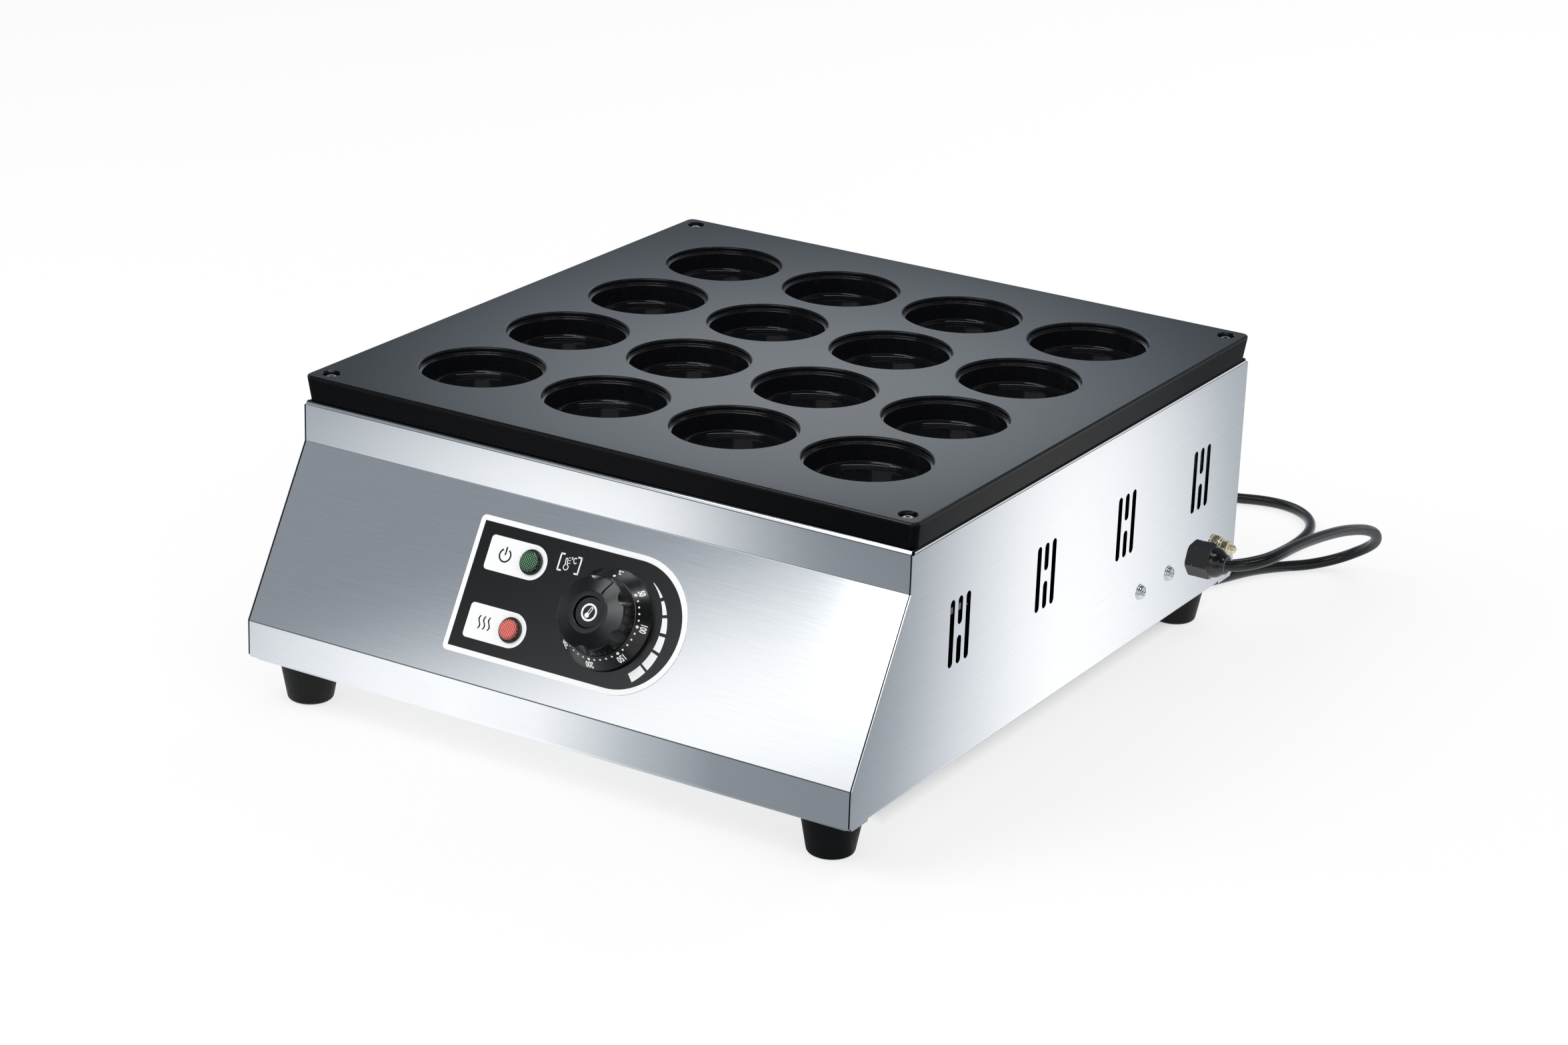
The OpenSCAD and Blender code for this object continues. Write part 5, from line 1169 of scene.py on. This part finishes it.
# %% Rubber feet
FOOT_X, FOOT_YS = 173.9, {"front": -229.5, "rear": 176.4}
FOOT_WELL_R, FOOT_WELL_H, FOOT_H = 5.5, 13, 25.3
foot = turned(
    "rubber_foot",
    [
        (0, FOOT_WELL_H), (FOOT_WELL_R, FOOT_WELL_H), (FOOT_WELL_R, 0.8),
        *arc(FOOT_WELL_R + 0.8, 0.8, 0.8, 180, 270, 3), (8.2, 0), (8.6, 0.5), (9.4, 0.5), (9.8, 0),
        *arc(10.8, 2.6, 2.6, -90, -10.3, 6), (17.2, 22.9), (17.9, 23.3), *arc(17.5, FOOT_H - 0.5, 0.5, 0, 90, 3),
        (0, FOOT_H),
    ],
    72,
)
for side, x in (("left", -FOOT_X), ("right", FOOT_X)):
    for end, y in FOOT_YS.items():
        twin = twin_of(foot, Matrix.Identity(4))
        twin.name = twin.data.name = "rubber_foot_%s_%s" % (end, side)
        settle(twin, foot_rubber, ["foot_%s_%s" % (end, side)], place((x, y, 0), Matrix.Identity(4)))
bpy.data.objects.remove(foot, do_unlink=True)

# %% [markdown]
# The lead ends in a moulded plug behind the housing. Its body is cut from a waisted outline and rounded, its strain
# relief is turned with ribs, and its three flat pins have eased tips.

# %% Plug
PLUG_LEN, PLUG_HALF_W, PLUG_T, RELIEF_LEN, PLUG_SINK = 40.0, 19.0, 24.4, 24.0, 0.5
WAIST_SHARE, HOLLOW_SHARE, HOLLOW_STEP, HOLLOW_END = 0.36, 0.55, 7, 21.2
RIBS, RIB_PITCH, RIB_GROW, RIB_DEPTH = 5, 4.4, 0.36, 0.7
plug_spot = place((COIL_CENTRE.x - TAIL_LEN, coil_top, COIL_Z + COIL_PITCH), swung("Z", 180))
waist, hollow = PLUG_HALF_W * WAIST_SHARE, PLUG_LEN * HOLLOW_SHARE
angles = [math.radians(HOLLOW_STEP * i) for i in range(13)]
side = [(hollow * math.sin(t), waist + hollow - hollow * math.cos(t)) for t in angles]
side = [(x, y) for x, y in side if y < PLUG_HALF_W] + [(HOLLOW_END, PLUG_HALF_W), (PLUG_LEN, PLUG_HALF_W)]
plug = sheet_cut("moulded_plug", [(x, -y) for x, y in side] + [(x, y) for x, y in reversed(side)], PLUG_T)
plug = copies(plug, [moved(RELIEF_LEN - PLUG_SINK, 0, -PLUG_T / 2)])
soften(plug, 2.2, 4, 40)
ribs = [(0, 0), (4.2, 0)]
for k in range(RIBS):
    z, r = 1.2 + RIB_PITCH * k, 4.5 + RIB_GROW * k
    ribs += [(r - RIB_DEPTH, z), (r, z + 0.5), (r, z + 2.6), (r - RIB_DEPTH, z + 3.2)]
relief = turned("relief", ribs + [(6.4, RELIEF_LEN), (0, RELIEF_LEN)], 48)
relief = copies(relief, [swung("Y", 90)])
plug = settle(joined(plug, relief), lead_pvc, ["plug_body"], plug_spot)

# %% Plug pins
PIN_LEN, PIN_T, PIN_W = 17, 1.6, 6.3
pin_x = RELIEF_LEN + PLUG_LEN - PLUG_SINK + PIN_LEN / 2
pins = []
for y, z, turn in ((7.5, 3, 60), (-7.5, 3, -60), (0, -5, 0)):
    pin = block("plug_pins_flat", PIN_LEN, PIN_T, PIN_W)
    mark(pin, "FACE", lambda f: f.normal.x > 0.9)
    bpy.ops.transform.resize(value=(1, 0.55, 0.8))
    pins.append(copies(pin, [moved(pin_x, y, z) @ swung("X", turn)]))
blades = joined(*pins)
soften(blades, 0.25)
settle(blades, pin_brass, ["plug_pins"], plug_spot)

# %% [markdown]
# A strap with a small buckle ties the coil. Seen along the lead it is a rounded loop round all the turns, so it is cut
# from sheet twice, once for the outside and once for the hole.

# %% Coil strap
TIE_IN, TIE_OUT, TIE_LOW, TIE_HIGH, TIE_W, TIE_T = 28.1, 43.1, 1.2, 16.2, 5.0, 1
BUCKLE_LEFT, BUCKLE_RIGHT, BUCKLE_LOW, BUCKLE_HIGH, BUCKLE_PAST = 33, 38.4, 16.9, 18.6, 0.8


def loop(grow, corner):
    """A rounded rectangle round the turns of the coil, seen along the lead."""
    x0, x1, z0, z1 = TIE_IN - grow, TIE_OUT + grow, TIE_LOW - grow, TIE_HIGH + grow
    return [
        *arc(x1 - corner, z1 - corner, corner, 0, 90, 5), *arc(x0 + corner, z1 - corner, corner, 90, 180, 5),
        *arc(x0 + corner, z0 + corner, corner, 180, 270, 5), *arc(x1 - corner, z0 + corner, corner, 270, 360, 5),
    ]


strap = sheet_cut("coil_strap", loop(TIE_T, 3), TIE_W)
cut(strap, copies(sheet_cut("hole", loop(0, 2), TIE_W + 2), [moved(z=-1)]))
buckle_outline = [
    (BUCKLE_LEFT, BUCKLE_LOW), (BUCKLE_RIGHT, BUCKLE_LOW), (BUCKLE_RIGHT, BUCKLE_HIGH), (BUCKLE_LEFT, BUCKLE_HIGH)
]
buckle = sheet_cut("buckle", buckle_outline, TIE_W + 2 * BUCKLE_PAST)
strap = joined(strap, copies(buckle, [moved(z=-BUCKLE_PAST)]))
soften(strap, 0.3)
tie_turn = swung("Z", -90) @ swung("X", 90) @ moved(z=-TIE_W / 2)
settle(strap, nylon_black, ["cord_tie"], place((*COIL_CENTRE, 0), tie_turn))

# %% [markdown]
# The lead's plug, its pins and the strap round its coil are all made above.

# %% The lead with its plug, pins and strap
print("lead made, with its plug, pins and strap")

# %% [markdown]
# The satin panels would carry a smeared mirror image of each fitting beside them. Real ones are brushed so that such
# images fade, so the fittings and the lead with its plug and strap are left out of reflections.

# %% Fittings without mirror images
unmirrored = (screws, collar, gland_cap, seal, stud, rings, stack, mains_lead, plug, blades, strap)
for fitting in unmirrored:
    fitting.visible_glossy = False
print(len(unmirrored), "pieces left out of reflections")

# %% [markdown]
# Pieces inside the housing, and small ones whose CAD shape is already right, keep their CAD mesh and only get a
# finish. The record says which finish each node takes, so one table from slot to material dresses them all.

# %% Finishes for the CAD nodes that stay
finishes = {
    "coated_plate": mould_coat, "panel_steel": satin_steel, "plain_steel": plain_steel, "zinc_steel": bright_zinc,
    "element_sheath": hot_sheath, "copper": copper_tube, "yellow_zinc": yellow_zinc, "black_knob": knob_black,
    "overlay_film": film_white, "green_lens": green_lens, "red_lens": red_lens, "foot_rubber": foot_rubber,
    "cord_rubber": lead_pvc, "pin_brass": pin_brass, "ceramic": steatite, "black_plastic": nylon_black,
}
for row in frame["record"]["subparts"]:
    cad = nodes[row["node"]]
    cad.data.materials.clear()
    cad.data.materials.append(finishes[row["material_slot"]])
print("finishes set on", len(nodes), "CAD nodes")

# %% [markdown]
# The object stands on a plain pale table in front of a white room. The room is white to the camera and to
# reflections, and lights everything softly from all round. The table is partly its own light to the camera, so that
# it stays nearly white and still keeps the shadow under the feet. Beneath the middle of the housing it gives no light,
# because there it would shine up through the slots of the base into the vents.


# %% White room
def seen_rays(tree):
    """One for the rays that show how a thing looks: from the camera, in a mirror and through glass."""
    path = put(tree, "ShaderNodeLightPath").outputs
    direct = put(
        tree, "ShaderNodeMath", {"operation": "MAXIMUM"}, links={0: path["Is Camera Ray"], 1: path["Is Glossy Ray"]}
    )
    every = put(
        tree, "ShaderNodeMath", {"operation": "MAXIMUM"}, links={0: direct.outputs[0], 1: path["Is Transmission Ray"]}
    )
    return every.outputs[0]


ROOM_LIGHT, ROOM_SEEN = 0.55, 1.0
room = bpy.data.worlds.new("white_room")
scene.world = room
room.use_nodes = True
tree = room.node_tree
tree.nodes.clear()
soft, white = (
    put(tree, "ShaderNodeBackground", values={"Color": ink("#FFFFFF"), "Strength": strength}).outputs[0]
    for strength in (ROOM_LIGHT, ROOM_SEEN)
)
mix = put(tree, "ShaderNodeMixShader", links={0: seen_rays(tree), 1: soft, 2: white})
put(tree, "ShaderNodeOutputWorld", links={"Surface": mix.outputs[0]})
print("room made with a light of", ROOM_LIGHT)

# %% Pale table
TABLE_SIZE, TABLE_Z = 12, -0.0002
TABLE_GLOW, GLOW_SHARE = 1.06, 0.7
# The dark patch beneath the housing: how the table's plan is squeezed and moved, then where the glow begins.
PATCH_SCALE, PATCH_MOVE, PATCH_IN, PATCH_OUT = (1, 0.85, 1), (0, -0.035, 0), 0.14, 0.17
table = begin_piece("table_top", bpy.ops.mesh.primitive_plane_add, size=TABLE_SIZE, location=(0, 0, TABLE_Z))
material, tree, shader, point = begin(
    "pale_table", {"Base Color": ink("#F0F0F0"), "Roughness": 0.9, "Specular IOR Level": 0.0}
)
glow = put(tree, "ShaderNodeEmission", values={"Color": ink("#FFFFFF"), "Strength": TABLE_GLOW})
beneath = put(
    tree, "ShaderNodeMapping", values={"Scale": PATCH_SCALE, "Location": PATCH_MOVE}, links={"Vector": point}
)
away = put(tree, "ShaderNodeVectorMath", {"operation": "ABSOLUTE"}, links={0: beneath.outputs["Vector"]})
apart = put(tree, "ShaderNodeSeparateXYZ", links={0: away.outputs["Vector"]}).outputs
reach = put(tree, "ShaderNodeMath", {"operation": "MAXIMUM"}, links={0: apart["X"], 1: apart["Y"]})
outside = put(
    tree, "ShaderNodeMapRange", values={"From Min": PATCH_IN, "From Max": PATCH_OUT, "To Max": GLOW_SHARE},
    links={"Value": reach.outputs[0]},
)
share = put(
    tree, "ShaderNodeMath", {"operation": "MULTIPLY"}, links={0: seen_rays(tree), 1: outside.outputs["Result"]}
)
mix = put(tree, "ShaderNodeMixShader", links={0: share.outputs[0], 1: shader.outputs[0], 2: glow.outputs[0]})
tree.links.new(mix.outputs[0], tree.nodes["Material Output"].inputs["Surface"])
table.data.materials.append(material)
print("table made with", len(tree.nodes), "nodes")

# %% [markdown]
# A large soft lamp hangs over the front left, a weaker one fills from the right, and a third behind lifts the rim of
# the plate. They light the object but stay out of reflections, which belong to the cards below.

# %% Lamps
LAMP_AIM = Vector((0, 0, 0.1))
for name, spot, size, power in (
    ("key_softbox", (-1.1, -1.3, 1.9), 1.4, 26),
    ("fill_softbox", (1.8, -0.9, 1.3), 1.2, 8),
    ("rear_softbox", (0.2, 1.9, 1.6), 1.4, 14),
):
    bpy.ops.object.light_add(type="AREA", location=spot)
    lamp = bpy.context.object
    lamp.name = name
    lamp.data.shape = "SQUARE"
    lamp.data.size = size
    lamp.data.energy = power
    lamp.rotation_euler = (LAMP_AIM - lamp.location).to_track_quat("-Z", "Y").to_euler()
    lamp.visible_glossy = False
    print(name, "gives", power, "watts")

# %% [markdown]
# Bare metal shows only what stands round it, so a studio sets graded cards where the panels look. Each card here is
# seen by reflections alone, and its darker levels are a little bluer.

# %% A reflection card
COOL = 0.115


def card(name, spot, size, across, span, levels, gain=1.0, middle=(0, 0), tint=0.0):
    """A card for reflections: its glow runs through these levels along one direction, or outwards from its origin."""
    sheet = begin_piece(name, bpy.ops.mesh.primitive_plane_add, size=1, location=(*middle, 0))
    sheet.scale = (*size, 1)
    apply_place()
    sheet.matrix_world = spot
    sheet.visible_camera = sheet.visible_diffuse = sheet.visible_shadow = sheet.visible_transmission = False
    material = bpy.data.materials.new(name)
    material.use_nodes = True
    tree = material.node_tree
    tree.nodes.clear()
    point = put(tree, "ShaderNodeTexCoord").outputs["Object"]
    if across:
        measure = put(tree, "ShaderNodeVectorMath", {"operation": "DOT_PRODUCT"}, {1: across}, {0: point})
    else:
        measure = put(tree, "ShaderNodeVectorMath", {"operation": "LENGTH"}, links={0: point})
    part = put(
        tree, "ShaderNodeMapRange", values={"From Min": span[0], "From Max": span[1]},
        links={"Value": measure.outputs["Value"]},
    )
    shade = put(tree, "ShaderNodeValToRGB", links={"Fac": part.outputs["Result"]})
    stops = shade.color_ramp.elements
    while len(stops) < len(levels):
        stops.new(0.5)
    for i, level in enumerate(levels):
        cool = tint + COOL * (1 - level)
        stops[i].position = i / (len(levels) - 1)
        stops[i].color = (level * (1 - cool), level, level * (1 + cool), 1)
    glow = put(tree, "ShaderNodeEmission", values={"Strength": gain}, links={"Color": shade.outputs["Color"]})
    put(tree, "ShaderNodeOutputMaterial", links={"Surface": glow.outputs[0]})
    sheet.data.materials.append(material)
    print(name, "has", len(levels), "levels")


# %% [markdown]
# The cards in front and at the right lie on the table, each with a dark flag beyond it, and the pair is repeated
# behind, so that the back of the housing is lit in the same way. One card hangs before the slope. One hangs level
# above and behind the plate, bright at its origin and darker outwards, and a dark ceiling over the front keeps the
# plate's edge black. A strip light below the ceiling draws thin highlights, and the knob has two small cards and a
# flag of its own.

# %% Cards for the housing
STEEL_GAIN = 1.32
FRONT_LEVELS = (0.40, 0.55, 0.74, 0.90, 0.975, 0.91, 0.50, 0.265, 0.24)
SIDE_LEVELS = (0.26, 0.39, 0.64, 0.86, 1.0, 0.95, 0.81, 0.63, 0.40)
SLOPE_LEVELS = (0.255, 0.295, 0.44, 0.66, 0.88, 0.985, 1.0, 0.965, 0.83)
LEVEL_WAY, LEVEL_SPAN = (1, 0, 0), (-1, 1)
FLAG_LEVELS, CEILING_LEVELS = (0.03, 0.05), (0.05, 0.07)
for end, turn, lift in (("front", 0, 0.8), ("back", 180, 0.4)):
    spot = swung("Z", turn) @ moved(z=lift)
    card(end + "_card", spot, (0.84, 0.41), (1, -0.601, 0), (-0.18, 0.30), FRONT_LEVELS, STEEL_GAIN, (-0.23, -0.405))
    card(end + "_flag", spot, (1.6, 0.6), LEVEL_WAY, LEVEL_SPAN, FLAG_LEVELS, middle=(-0.2, -0.91))
    card(
        end + "_side_card", spot, (0.26, 1.2), (-1.95, 1, 0), (-0.6266, -0.1066), SIDE_LEVELS, STEEL_GAIN, (0.32, 0.25)
    )
    card(end + "_side_flag", spot, (0.6, 1.8), LEVEL_WAY, LEVEL_SPAN, FLAG_LEVELS, middle=(0.75, 0.4))
slope_card = Matrix.Translation((-0.2283, -0.4938, 0.2883)) @ slope_turn
card("slope_card", slope_card, (0.9, 0.46), (1, -1.98, 0), (-0.12, 0.36), SLOPE_LEVELS, STEEL_GAIN)

# %% Cards for the plate and the knob
PLATE_LEVELS, PLATE_GAIN, PLATE_TINT = (0.93, 0.90, 0.72, 0.46, 0.20, 0.14), 2.0, 0.06
STRIP_GAIN, KNOB_GAIN, KNOB_TOP_GAIN = 16.0, 5.0, 6.0
plate_card = Matrix.Translation((-0.335, 0.595, 0.4313))
card("plate_card", plate_card, (2.8, 2.68), None, (0, 0.45), PLATE_LEVELS, PLATE_GAIN, (-0.27, 0.993), PLATE_TINT)
ceiling = Matrix.Translation((0, 0, 1.0))
card("dark_ceiling", ceiling, (4.4, 2.4), LEVEL_WAY, LEVEL_SPAN, CEILING_LEVELS, middle=(0, -0.4))
strip = Matrix.Translation((0.12, -0.2, 0.96)) @ swung("Z", 31)
card("strip_light", strip, (1.0, 0.08), (0, 1, 0), (-0.04, 0.04), (0.3, 1.0, 1.0, 0.3), STRIP_GAIN)
# The knob's cards lie just before the slope's card, on the side towards the object.
for name, x, y, size, across, span, levels, gain in (
    ("knob_card", 0.34, 0.10, (0.25, 0.26), (0, 1, 0), (-0.13, -0.01), (0.2, 0.7, 1.0), KNOB_GAIN),
    ("knob_flag", 0.02, -0.2, (0.62, 0.2), (0, 1, 0), (-0.1, 0.1), (0.08, 0.08, 0.3), 1.0),
    ("knob_top_card", 0.12, 0.23, (0.19, 0.15), (1, 0, 0), (-0.095, 0.06), (0.25, 0.8, 1.0), KNOB_TOP_GAIN),
):
    card(name, slope_card @ Matrix.Translation((x, y, -0.002)), size, across, span, levels, gain)

# %% [markdown]
# The last cell sets the plain colour view and brings the scene up to date.

scene.view_settings.view_transform = "Standard"
bpy.context.view_layer.update()
